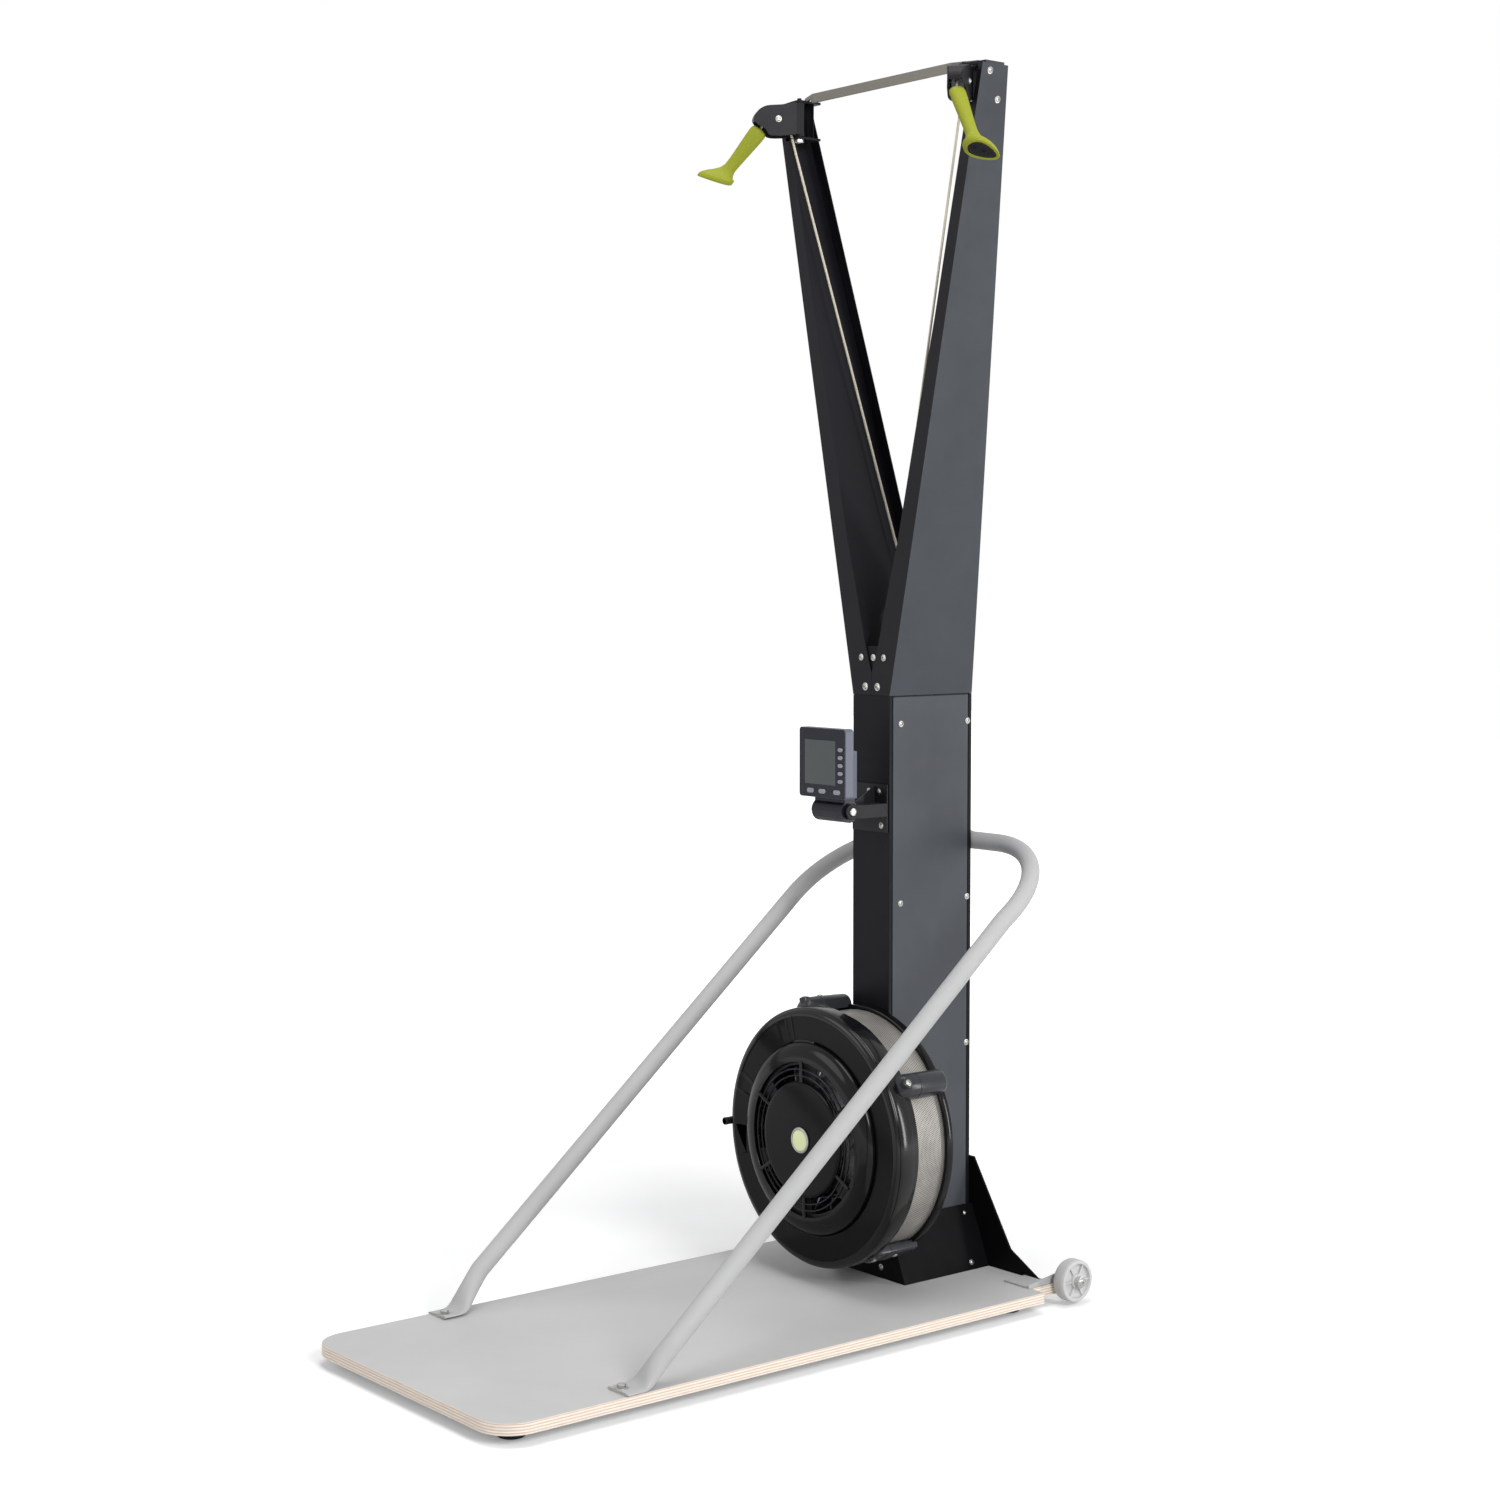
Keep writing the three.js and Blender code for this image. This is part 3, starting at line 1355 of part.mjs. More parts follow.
// Damper: a ring with windows that turns on the shell's inner rim, with a lever out to its knob
function damperRing() {
  const inner = damperRimRadius + runningClearance;
  const ring = revolve(
    "y",
    [
      [inner, damperInnerY],
      [damperDiscRadius, damperInnerY],
      [damperConeRadius, damperOuterY],
      [damperOuterRadius, damperOuterY],
      [damperOuterRadius, damperOuterY + damperSheet],
      [damperConeRadius - damperSheet, damperOuterY + damperSheet],
      [damperDiscRadius - damperSheet, damperInnerY + damperSheet],
      [inner, damperInnerY + damperSheet],
    ],
    cageSegments,
  );
  const windows = [];
  for (let i = 0; i < grilleSpokeCount; i += 1) {
    const from = grilleSpokeTurn + (fullTurn * (i + 0.08)) / grilleSpokeCount;
    const outer = damperDiscRadius - 2 * damperRimWall;
    const outline = sectorOutline(inner + damperRimWall, outer, from, from + fullTurn / 9, 3);
    windows.push(extrude("y", outline, damperInnerY - overrun, damperInnerY + overrun));
  }
  const lever = new THREE.BoxGeometry(damperKnobReach - damperConeRadius, damperSheet, damperLeverWidth);
  lever.translate((damperKnobReach + damperConeRadius) / 2, damperOuterY + damperSheet / 2, 0);
  lever.rotateY(-damperLeverTurn);
  const [knobCentre] = arc([0, 0], damperKnobReach, damperLeverTurn, damperLeverTurn, 1);
  const knob = rod("y", knobCentre, damperKnobRadius, damperKnobAheadY, damperKnobBehindY, 12);
  return joined(cut(ring, windows), solid(lever), knob);
}

function keyPlaces() {
  const places = [];
  for (let i = 0; i < sideKeyCount; i += 1) {
    const z = sideKeyTopZ - i * sideKeyPitch;
    places.push({ name: `key_side_${i + 1}`, x: sideKeyX, z, width: sideKeyWidth, height: sideKeyHeight });
  }
  baseKeyXs.forEach((x, i) => {
    places.push({ name: `key_base_${i + 1}`, x, z: baseKeyZ, width: baseKeyWidth, height: baseKeyHeight });
  });
  return places;
}

function keyOutline({ x, z, width, height }, grow) {
  const xs = [x - width / 2 - grow, x + width / 2 + grow];
  const zs = [z - height / 2 - grow, z + height / 2 + grow];
  return roundedOutline(xs, zs, keyCornerRadius + grow, 1);
}

function keyCap(key) {
  return extrude("y", keyOutline(key, 0), monitorFrontY - keyProud, monitorFrontY - keyProud + keyBody);
}

function monitorHousing() {
  const zs = [monitorBottomZ, monitorTopZ];
  const outline = roundedOutline([-monitorHalfWidth, monitorHalfWidth], zs, monitorCornerRadius);
  const face = roundedOutline(
    [-monitorHalfWidth + 2 * clearance, monitorHalfWidth - 2 * clearance],
    [zs[0] + 2 * clearance, zs[1] - 2 * clearance],
    monitorCornerRadius,
  );
  const lip = monitorFrontY + keyTravel;
  const front = extrude("y", face, monitorFrontY, lip + clearance);
  const body = joined(extrude("y", outline, lip, monitorBackY), front);
  const glass = block(
    [screenLeft - clearance, screenRight + clearance],
    [monitorFrontY - overrun, monitorFrontY + screenThickness + clearance],
    [screenBottomZ - clearance, screenTopZ + clearance],
  );
  const pocketBack = monitorFrontY - keyProud + keyBody + keyTravel + clearance;
  const pockets = keyPlaces().map((key) =>
    extrude("y", keyOutline(key, clearance), monitorFrontY - overrun, pocketBack),
  );
  return cut(body, glass, pockets);
}

function monitorScreen() {
  const ys = [monitorFrontY, monitorFrontY + screenThickness];
  return block([screenLeft, screenRight], ys, [screenBottomZ, screenTopZ]);
}

// Back shell, tapering to the rear, with the neck and barrel that tilt on the bracket's bolt
function monitorBack() {
  const frontY = monitorBackY + clearance;
  const shell = [0, 1].map((share) => {
    const inset = backTaper * share;
    const xs = [-backHalfWidth + inset, backHalfWidth - inset];
    const y = frontY + backDepth * share;
    const zs = [monitorBottomZ + clearance, backTopZ - inset];
    const corners = [[xs[0], zs[0]], [xs[1], zs[0]], [xs[1], zs[1]], [xs[0], zs[1]]];
    return corners.map(([x, z]) => new THREE.Vector3(x, y, z));
  });
  const barrel = rod("x", [0, 0], armBarrelRadius, -armHalfWidth, armHalfWidth, 20);
  const neck = block(
    [-armHalfWidth, armHalfWidth],
    [frontY, -armNeckFrontY],
    [0, monitorBottomZ + 2 * clearance],
  );
  const lip = block(
    [-armHalfWidth, armHalfWidth],
    [armNeckFrontY, frontY + clearance],
    [0, monitorBottomZ - clearance],
  );
  const bore = rod("x", [0, 0], tiltBoltRadius + clearance, -monitorHalfWidth, monitorHalfWidth, 12);
  return cut(joined(loft(shell, (p) => new THREE.Vector2(p.x, p.z)), barrel, neck, lip), bore);
}

// Bracket on the column: a plate, two shelves with a rib, and two ears with the tilt bolt
function monitorBracket() {
  const backY = -pivotY - clearance;
  const xs = [-bracketHalfWidth, bracketHalfWidth];
  const plate = block(xs, [backY - bracketPlate, backY], [-bracketBelow, bracketAbove]);
  const shelves = [shelfTopZ, shelfBottomZ].map((z) =>
    block(xs, [shelfFrontY, backY - clearance], [z, z + bracketPlate]),
  );
  const ears = Object.values(sides).map((sign) => {
    const outline = outlineOf([
      ...arc([0, 0], earRadius, Math.PI / 2, 1.5 * Math.PI, 8),
      [shelfFrontY + earWall, shelfBottomZ],
      [backY - clearance, shelfBottomZ],
      [backY - clearance, shelfTopZ + bracketPlate],
      [shelfFrontY + earWall, shelfTopZ + bracketPlate],
    ]);
    return extrude("x", outline, sign * (bracketHalfWidth - earWall), sign * bracketHalfWidth);
  });
  const rib = extrude(
    "x",
    outlineOf([
      [shelfFrontY + earWall, shelfTopZ + bracketPlate - clearance],
      [backY - clearance, shelfTopZ + bracketPlate - clearance],
      [backY - clearance, shelfTopZ + ribHeight],
    ]),
    ribX - bracketPlate / 2,
    ribX + bracketPlate / 2,
  );
  const bolt = rod("x", [0, 0], tiltBoltRadius, -bracketHalfWidth, bracketHalfWidth, 12);
  const heads = Object.values(sides).map((sign) => {
    const from = sign * (bracketHalfWidth - clearance);
    return rod("x", [0, 0], tiltBoltHeadRadius, from, sign * (bracketHalfWidth + tiltBoltHead), 12);
  });
  return joined(plate, shelves, ears, rib, bolt, heads);
}

// The machine, moved so that the origin is at the middle of the floor under it
const machine = new THREE.Group();
const frame = subgroup(machine, 0, (deckAhead - wheelAxleY - wheelRadius) / 2, deckThickness + footHeight);

place(frame, "deck_board", deckBoard(), "plywood");
deckFeet(frame);
place(frame, "stand_tube", standTube(), "greySteel");
place(frame, "tube_saddle", tubeSaddle(), "greySteel");
place(frame, "column_front", columnChannel(0, 1), "blackSteel");
place(frame, "column_rear", columnChannel(columnDepth, -1), "blackSteel");
place(frame, "base_shoe", baseShoe(), "blackSteel");
place(frame, "rear_gusset", rearGusset(), "blackSteel");
place(frame, "crossbar", crossbar(), "stripSteel");
place(frame, "pulley_carrier", pulleyCarrier(), "blackSteel");

for (const [side, sign] of Object.entries(sides)) {
  place(frame, `wheel_bracket_${side}`, wheelBracket(sign), "greySteel");
  const wheel = subgroup(frame, sign * wheelX, wheelAxleY, wheelAxleZ);
  place(wheel, `transport_wheel_${side}`, transportWheel(), "wheelPlastic");
  place(frame, `side_panel_${side}`, sidePanel(sign), "panelSteel");
  place(frame, `arm_${side}`, arm(sign), "panelSteel");
  place(frame, `drive_cord_${side}`, driveCord(side, sign), "cord");
  place(frame, `return_cord_${side}`, returnCord(sign), "elastic");
  const guide = subgroup(frame, sign * guideX, 0, guideZ);
  const guideRadii = [guideAxleRadius + clearance, guideGrooveRadius, guideFlangeRadius];
  const guidePulley = groovedPulley("y", ...guideRadii, guideWidth, cordY[side]);
  place(guide, `guide_pulley_${side}`, guidePulley, "greyPlastic");
  const head = subgroup(frame, sign * pinX, pinY, headZ);
  head.rotation.z = sign * headSplay[side];
  place(head, `pulley_housing_${side}`, pulleyHousing(), "blackPlastic");
  const axle = subgroup(head, 0, -pulleyReach, 0);
  const topBore = pulleyBoltRadius + clearance;
  const topPulley = groovedPulley("x", topBore, topGrooveRadius, topPulleyRadius, topPulleyWidth, 0);
  place(axle, `top_pulley_${side}`, topPulley, "greyPlastic");
  place(head, `pull_cord_${side}`, pullCord(head, side, sign), "cord");
  placeHandle(head, side, sign);
}

const drive = subgroup(frame, 0, 0, shaftZ);
place(drive, "drive_shaft", driveShaft(), "brightSteel");
place(drive, "shaft_bearing_front", shaftBearing(0, -1), "brightSteel");
place(drive, "shaft_bearing_rear", shaftBearing(columnDepth, 1), "brightSteel");
place(drive, "cord_spool_left", cordSpool(-1), "blackPlastic");
place(drive, "cord_spool_right", cordSpool(1), "blackPlastic");
place(drive, "flywheel", flywheel(), "brightSteel");
place(drive, "cage_front", cageFront(), "blackPlastic");
place(drive, "cage_screen", cageScreen(), "screenSteel");
place(drive, "cage_rear", cageRear(), "blackPlastic");
place(drive, "hub_cap", hubCap(), "limePlastic");
place(drive, "damper_ring", damperRing(), "blackPlastic");

const monitor = subgroup(frame, 0, pivotY, pivotZ);
place(monitor, "monitor_bracket", monitorBracket(), "blackPlastic");
place(monitor, "monitor_housing", monitorHousing(), "casePlastic");
place(monitor, "monitor_back", monitorBack(), "casePlastic");
place(monitor, "monitor_screen", monitorScreen(), "display");
for (const key of keyPlaces()) place(monitor, key.name, keyCap(key), "keyPlastic");

export default machine;
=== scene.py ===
from math import atan2, copysign, cos, degrees, pi, radians, sin, tan

import bmesh
import bpy
from mathutils import Matrix, Vector


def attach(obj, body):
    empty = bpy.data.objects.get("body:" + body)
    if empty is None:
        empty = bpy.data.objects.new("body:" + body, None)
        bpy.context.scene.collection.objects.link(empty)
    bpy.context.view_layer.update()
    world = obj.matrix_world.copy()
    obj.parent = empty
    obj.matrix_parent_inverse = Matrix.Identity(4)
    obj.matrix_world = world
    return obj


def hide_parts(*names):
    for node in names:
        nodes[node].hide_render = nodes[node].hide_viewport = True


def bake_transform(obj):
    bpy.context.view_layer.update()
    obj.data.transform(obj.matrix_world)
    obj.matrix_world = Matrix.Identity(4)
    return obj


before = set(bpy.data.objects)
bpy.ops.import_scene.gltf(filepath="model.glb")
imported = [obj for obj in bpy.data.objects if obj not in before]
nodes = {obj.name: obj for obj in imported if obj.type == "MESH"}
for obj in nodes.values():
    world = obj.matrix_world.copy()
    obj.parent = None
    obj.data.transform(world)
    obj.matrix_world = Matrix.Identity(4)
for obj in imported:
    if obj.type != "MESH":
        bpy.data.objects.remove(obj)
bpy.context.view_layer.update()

# Lengths are in millimetres from the column's front face, the plane of symmetry and the deck's top.
# The model's own frame lies on the floor, this far from there. Lamps and materials use that one, in metres.
SHIFT = Vector((0.0, 354.0, 38.0))
SIDES = (("left", -1), ("right", 1))
TURN = 2 * pi
QUARTER = pi / 2
SHAFT = (0, 0, 267)


def at(x, y, z):
    return (Vector((x, y, z)) + SHIFT) / 1000


def new_object(name, data):
    made = bpy.data.objects.new(name, data)
    bpy.context.scene.collection.objects.link(made)
    return made


# -------- camera, light and floor
WHITE, BLACK = [1, 1, 1, 1], [0, 0, 0, 1]


def make_camera():
    """The camera's place, angles and lens, as fitted to the photograph."""
    turn, down, roll = radians(51.10), radians(3.985), radians(-0.049)
    back = Vector((sin(turn) * cos(down), -cos(turn) * cos(down), sin(down)))
    data = bpy.data.cameras.new("camera")
    data.sensor_width = 36
    data.lens = 61.53
    data.clip_end = 60
    camera = new_object("camera", data)
    camera.rotation_mode = "QUATERNION"
    camera.location = at(3405.8, -3025.0, 1264.5)
    camera.rotation_quaternion = (-back).to_track_quat("-Z", "Y") @ Matrix.Rotation(roll, 3, "Z").to_quaternion()
    bpy.context.scene.camera = camera


def area_light(name, place, target, size, power, tall=None):
    data = bpy.data.lights.new(name, "AREA")
    data.shape = "RECTANGLE" if tall else "DISK"
    data.size = size
    if tall:
        data.size_y = tall
    data.energy = power
    light = new_object(name, data)
    light.location = place
    light.rotation_mode = "QUATERNION"
    light.rotation_quaternion = (Vector(target) - Vector(place)).to_track_quat("-Z", "Y")


class Tree:
    """A node tree, with a short way to add nodes, their values and their links."""

    def __init__(self, owner, empty=True):
        owner.use_nodes = True
        self.tree = owner.node_tree
        if empty:
            self.tree.nodes.clear()

    def feed(self, socket, value):
        """Puts a value, or another node's output, into a socket."""
        if isinstance(value, bpy.types.NodeSocket):
            self.tree.links.new(value, socket)
        else:
            socket.default_value = value

    def add(self, kind, inputs=None, **settings):
        node = self.tree.nodes.new("ShaderNode" + kind)
        for key, value in settings.items():
            setattr(node, key, value)
        for key, value in (inputs or {}).items():
            self.feed(node.inputs[key], value)
        return node

    def out(self, kind, inputs, **settings):
        return self.add(kind, inputs, **settings).outputs[0]

    def calc(self, operation, *values):
        return self.out("Math", dict(enumerate(values)), operation=operation)

    def seen(self):
        """1 for rays from the camera, straight, mirrored or through something clear."""
        rays = self.add("LightPath").outputs
        mirrored = self.calc("MAXIMUM", rays["Is Camera Ray"], rays["Is Glossy Ray"])
        return self.calc("MAXIMUM", mirrored, rays["Is Transmission Ray"])


def make_world():
    """White to look at, and a softer light for the part."""
    world = bpy.data.worlds.new("studio")
    tree = Tree(world)
    plain = tree.out("Background", {"Color": WHITE, "Strength": 1})
    soft = tree.out("Background", {"Color": (0.97, 0.985, 1, 1), "Strength": 0.33})
    tree.add("OutputWorld", {0: tree.out("MixShader", {0: tree.seen(), 1: soft, 2: plain})})
    bpy.context.scene.world = world


def make_floor():
    """White paper: it glows fully far from the part, and less under it, where a faint shadow shows."""
    mesh = bpy.data.meshes.new("floor")
    size = 14
    mesh.from_pydata([(-size, -size, 0), (size, -size, 0), (size, size, 0), (-size, size, 0)], [], [(0, 1, 2, 3)])
    floor = new_object("floor", mesh)
    floor.location.z = -0.0006
    material = bpy.data.materials.new("floor_paper")
    tree = Tree(material)
    matt = tree.out("BsdfDiffuse", {"Color": (0.72, 0.72, 0.72, 1)})
    paper = tree.out("BsdfDiffuse", {"Color": (0.95, 0.95, 0.95, 1)})
    place = tree.add("TexCoord").outputs["Object"]
    far = tree.add("VectorMath", {0: place}, operation="LENGTH").outputs["Value"]
    spread = {"Value": far, "From Min": 0.9, "From Max": 3.2, "To Min": 0.18, "To Max": 1.0}
    glow = tree.out("Emission", {"Color": WHITE, "Strength": tree.out("MapRange", spread)})
    pale = tree.out("AddShader", {0: paper, 1: glow})
    tree.add("OutputMaterial", {0: tree.out("MixShader", {0: tree.seen(), 1: matt, 2: pale})})
    mesh.materials.append(material)


make_camera()
make_world()
make_floor()
area_light("key", (5.4, -0.9, 3.4), (0, 0.2, 1.1), 2.6, 222)
area_light("side", (3.25, 2.98, 1.05), (0.2, 0.24, 0.4), 0.36, 46, 2.05)
area_light("front", (-2.6, -4.4, 3.2), (0, 0.2, 1.0), 3.2, 62)
area_light("top", (0.6, -0.4, 5.4), (0, -0.2, 0.4), 3.0, 99)
bpy.context.scene.view_settings.view_transform = "Standard"


# -------- materials
def linear(tone, factor=1.0):
    """A colour as a screen shows it, 0 to 255, as linear light times a factor."""
    def one(value):
        value /= 255
        return value / 12.92 if value <= 0.04045 else ((value + 0.055) / 1.055) ** 2.4

    return [one(value) * factor for value in tone] + [1.0]


class Paint(Tree):
    """A material, with short ways to put textures into its shader."""

    def __init__(self, name, roughness, metallic, specular, coat=0.0, coat_roughness=0.1, sheen=0.0):
        self.material = bpy.data.materials.new(name)
        super().__init__(self.material, empty=False)
        self.shader = self.tree.nodes["Principled BSDF"].inputs
        names = ("Roughness", "Metallic", "Specular IOR Level", "Coat Weight", "Coat Roughness", "Sheen Weight")
        for key, value in zip(names, (roughness, metallic, specular, coat, coat_roughness, sheen)):
            self.shader[key].default_value = value
        self.place = self.add("TexCoord").outputs["Object"]

    def split(self, vector):
        return self.add("SeparateXYZ", {0: vector}).outputs

    def where(self):
        return self.split(self.place)

    def normal(self, axis):
        return self.split(self.add("NewGeometry").outputs["True Normal"])[axis]

    def length(self, a, b):
        return self.calc("SQRT", self.calc("ADD", self.calc("MULTIPLY", a, a), self.calc("MULTIPLY", b, b)))

    def noise(self, scale, detail=2.0, rough=0.55, stretch=None):
        place = self.out("Mapping", {"Scale": stretch, "Vector": self.place}) if stretch else self.place
        return self.out("TexNoise", {"Scale": scale, "Detail": detail, "Roughness": rough, "Vector": place})

    def ramp(self, source, *stops):
        node = self.add("ValToRGB", {0: source})
        elements = node.color_ramp.elements
        while len(elements) < len(stops):
            elements.new(0.5)
        for element, (position, colour) in zip(elements, stops):
            element.position = position
            element.color = colour
        return node.outputs[0]

    def mask(self, source, start, end):
        return self.ramp(source, (start, BLACK), (end, WHITE))

    def tones(self, source, low, high, start=0.3, end=0.7):
        return self.ramp(source, (start, linear(low)), (end, linear(high)))

    def clouds(self, source, tone, darker, paler, start=0.3, end=0.7):
        return self.ramp(source, (start, linear(tone, darker)), (end, linear(tone, paler)))

    def mix(self, share, a, b):
        return self.add("Mix", {0: share, 6: a, 7: b}, data_type="RGBA").outputs[2]

    def range(self, source, low, high):
        return self.out("MapRange", {"Value": source, "To Min": low, "To Max": high})

    def colour(self, source):
        self.feed(self.shader["Base Color"], source)

    def rough(self, source, low, high):
        self.feed(self.shader["Roughness"], self.range(source, low, high))

    def bump(self, height, strength, distance):
        """A bump on top of the ones before it."""
        inputs = {"Strength": strength, "Distance": distance, "Height": height}
        before = self.shader["Normal"]
        if before.is_linked:
            inputs["Normal"] = before.links[0].from_socket
        self.feed(before, self.out("Bump", inputs))

    def peel(self, roughness, grain=900, depth=0.35):
        """The fine orange-peel skin of powder-coated steel."""
        self.rough(self.noise(38, 3.0), roughness - 0.07, roughness + 0.09)
        self.bump(self.noise(grain), depth, 0.00025)


def coated(name, tone, roughness, specular, grain=900, depth=0.35, vary=0.16):
    """Powder-coated steel with slight cloudiness and a few paler rubbed specks."""
    paint = Paint(name, roughness, 0, specular)
    base = paint.clouds(paint.noise(5.0, 4.0), tone, 1 - vary, 1 + vary)
    specks = paint.mask(paint.noise(340), 0.70, 0.78)
    paint.colour(paint.mix(paint.calc("MULTIPLY", specks, 0.22), base, linear(tone, 2.0)))
    paint.peel(roughness, grain, depth)
    return paint


def moulded(name, tone, roughness, specular, coat=0.0, grain=1500, depth=0.25, vary=0.1, coat_rough=0.18):
    """Moulded plastic with faint flow marks and, where it has a depth, a fine spark-eroded grain."""
    paint = Paint(name, roughness, 0, specular, coat, coat_rough)
    flow = paint.noise(9, 4.0, 0.6, (1.0, 1.0, 0.4))
    paint.colour(paint.clouds(flow, tone, 1 - vary, 1 + vary, end=0.72))
    paint.rough(paint.noise(60), roughness - 0.05, roughness + 0.07)
    if depth:
        paint.bump(paint.out("TexVoronoi", {"Scale": grain, "Vector": paint.place}), depth, 0.00012)
    paint.bump(paint.noise(22), 0.12, 0.0008)
    return paint


def bright(name, tone, roughness, lines):
    """Bare machined or plated metal with fine drawn lines."""
    paint = Paint(name, roughness, 1, 0.5)
    drawn = paint.noise(1.0, 5.0, 0.7, lines)
    paint.colour(paint.clouds(drawn, tone, 0.82, 1.08, 0.25, 0.75))
    paint.rough(drawn, roughness - 0.06, roughness + 0.12)
    paint.bump(drawn, 0.18, 0.00008)
    return paint


def board_material():
    """Grey laminate above and below, and the pale plies of the board on its edge."""
    paint = Paint("board", 0.5, 0, 0.35)
    z = paint.where()[2]
    top = paint.clouds(paint.noise(3.2, 5.0), (192, 192, 191), 0.95, 1.03)
    fleck = paint.mask(paint.noise(620), 0.66, 0.72)
    top = paint.mix(paint.calc("MULTIPLY", fleck, 0.16), top, linear((150, 151, 152)))
    scuff = paint.mask(paint.noise(14, 6.0, 0.7, (1, 4, 1)), 0.62, 0.74)
    top = paint.mix(paint.calc("MULTIPLY", scuff, 0.10), top, linear((176, 176, 176)))
    wobble = paint.calc("MULTIPLY", paint.calc("SUBTRACT", paint.noise(16), 0.5), 0.0011)
    lowest, pitch = 0.0195, 0.0046
    depth = paint.calc("SUBTRACT", paint.calc("ADD", z, wobble), lowest)
    ply = paint.calc("FRACT", paint.calc("DIVIDE", depth, pitch))
    grain = paint.noise(1, 5.0, 0.7, (55, 55, 700))
    pale = paint.tones(grain, (236, 224, 208), (250, 242, 230))
    dark = paint.tones(grain, (206, 182, 166), (224, 204, 190))
    bands = paint.ramp(ply, (0.0, BLACK), (0.38, BLACK), (0.52, WHITE), (0.86, WHITE), (1.0, BLACK))
    flat = paint.calc("GREATER_THAN", paint.calc("ABSOLUTE", paint.normal(2)), 0.75)
    paint.colour(paint.mix(flat, paint.mix(bands, pale, dark), top))
    paint.rough(paint.noise(24, 3.0), 0.42, 0.58)
    paint.bump(paint.noise(700), 0.12, 0.0002)
    return paint


def cord_material():
    """Braided polyester: two crossing sets of cream strands along the cord, with darker gaps."""
    paint = Paint("braid", 0.8, 0, 0.25, sheen=0.3)
    x, y, z = paint.where()
    pitch = 0.0034
    waves = []
    for lean in (0.9, -0.9):
        sloped = paint.calc("ADD", z, paint.calc("MULTIPLY", paint.calc("ADD", x, y), lean))
        waves.append(paint.calc("SINE", paint.calc("MULTIPLY", sloped, TURN / pitch)))
    strands = paint.range(paint.calc("MAXIMUM", *waves), 0.0, 1.0)
    paint.colour(paint.tones(strands, (176, 166, 146), (232, 224, 206), 0.2))
    paint.bump(strands, 0.7, 0.0005)
    return paint


def screen_material():
    """Sheet with rows of small round holes, laid out round the shaft's axis."""
    paint = Paint("perforated_sheet", 0.45, 0.35, 0.4)
    x, y, z = paint.where()
    radius, pitch, row_pitch = 0.215, 0.0036, 0.0031
    turned = paint.calc("ARCTAN2", paint.calc("SUBTRACT", z, at(*SHAFT).z), x)
    along = paint.calc("DIVIDE", paint.calc("MULTIPLY", turned, radius), pitch)
    across = paint.calc("DIVIDE", y, row_pitch)
    odd = paint.calc("MULTIPLY", paint.calc("MODULO", paint.calc("FLOOR", across), 2.0), 0.5)
    u = paint.calc("SUBTRACT", paint.calc("FRACT", paint.calc("ADD", along, odd)), 0.5)
    v = paint.calc("SUBTRACT", paint.calc("FRACT", across), 0.5)
    sheet = paint.mask(paint.length(u, v), 0.27, 0.33)
    metal = paint.tones(paint.noise(30, 4.0), (146, 142, 137), (168, 164, 158))
    paint.colour(paint.mix(sheet, linear((58, 57, 55)), metal))
    paint.bump(sheet, 0.5, 0.0004)
    return paint


def rubber_material():
    """Rubber with paler dust on it."""
    paint = Paint("rubber", 0.82, 0, 0.3)
    paint.colour(paint.tones(paint.noise(90, 5.0, 0.7), (38, 38, 40), (66, 65, 64), 0.5, 0.8))
    paint.bump(paint.noise(1100), 0.4, 0.0003)
    return paint


def display_material():
    """Grey-green display window with faint pixel rows under clear gloss."""
    paint = Paint("display", 0.22, 0, 0.3, 0.25, 0.05)
    x, _, z = paint.where()
    pixel = 0.0009
    waves = [paint.calc("SINE", paint.calc("MULTIPLY", part, TURN / pixel)) for part in (z, x)]
    cells = paint.calc("MULTIPLY", paint.calc("MAXIMUM", *waves), 0.05)
    shaded = paint.calc("ADD", paint.range(paint.noise(12), 0.9, 1.08), cells)
    paint.colour(paint.tones(paint.calc("SUBTRACT", shaded, 0.5), (45, 52, 53), (64, 72, 71), 0.25, 0.75))
    return paint


def arm_material():
    """Grey outer web; the front flange and everything that looks inward is dark: painted light and shade on one
    paint, paler where faces look outward, darker on the front and in the channel's shade.
    """
    paint = Paint("arm", 0.46, 0, 0.12)
    base = paint.clouds(paint.noise(5.0, 4.0), (21, 21, 26), 0.88, 1.12)
    web = paint.clouds(paint.noise(5.0, 4.0), (65, 68, 73), 0.84, 1.1)
    # Painted light and shade: faces that look outward get the pale tone, all other faces the dark one.
    outward = paint.calc("MULTIPLY", paint.normal(0), paint.calc("SIGN", paint.where()[0]))
    paint.colour(paint.mix(paint.calc("GREATER_THAN", outward, 0.7), base, web))
    paint.peel(0.46)
    return paint


def panel_material():
    """Grey side plate: painted light, the column's dark paint made paler for the side the lamps light; with a dark
    line along its top edge, painted shade where the arm's edge shades it.
    """
    paint = Paint("panel", 0.46, 0, 0.14)
    # Painted light: this grey is a paler copy of the column's dark paint (dark_steel), for the lit side.
    base = paint.clouds(paint.noise(5.0, 4.0), (71, 74, 79), 0.84, 1.12)
    # Painted shade: a dark line under the arm's edge.
    line_height = 1.0802
    line = paint.calc("GREATER_THAN", paint.where()[2], line_height)
    paint.colour(paint.mix(line, base, linear((14, 14, 16))))
    paint.peel(0.46)
    return paint


def shell_material():
    """Dull moulded plastic, glossier from the shell's shoulder outward."""
    paint = moulded("shell_plastic", (10, 10, 11), 0.42, 0.02, 0.2, depth=0, coat_rough=0.14)
    x, _, z = paint.where()
    shoulder = 0.2165
    far = paint.length(x, paint.calc("SUBTRACT", z, at(*SHAFT).z))
    outside = paint.calc("GREATER_THAN", far, shoulder)
    paint.feed(paint.shader["Coat Weight"], paint.range(outside, 0.16, 0.5))
    return paint


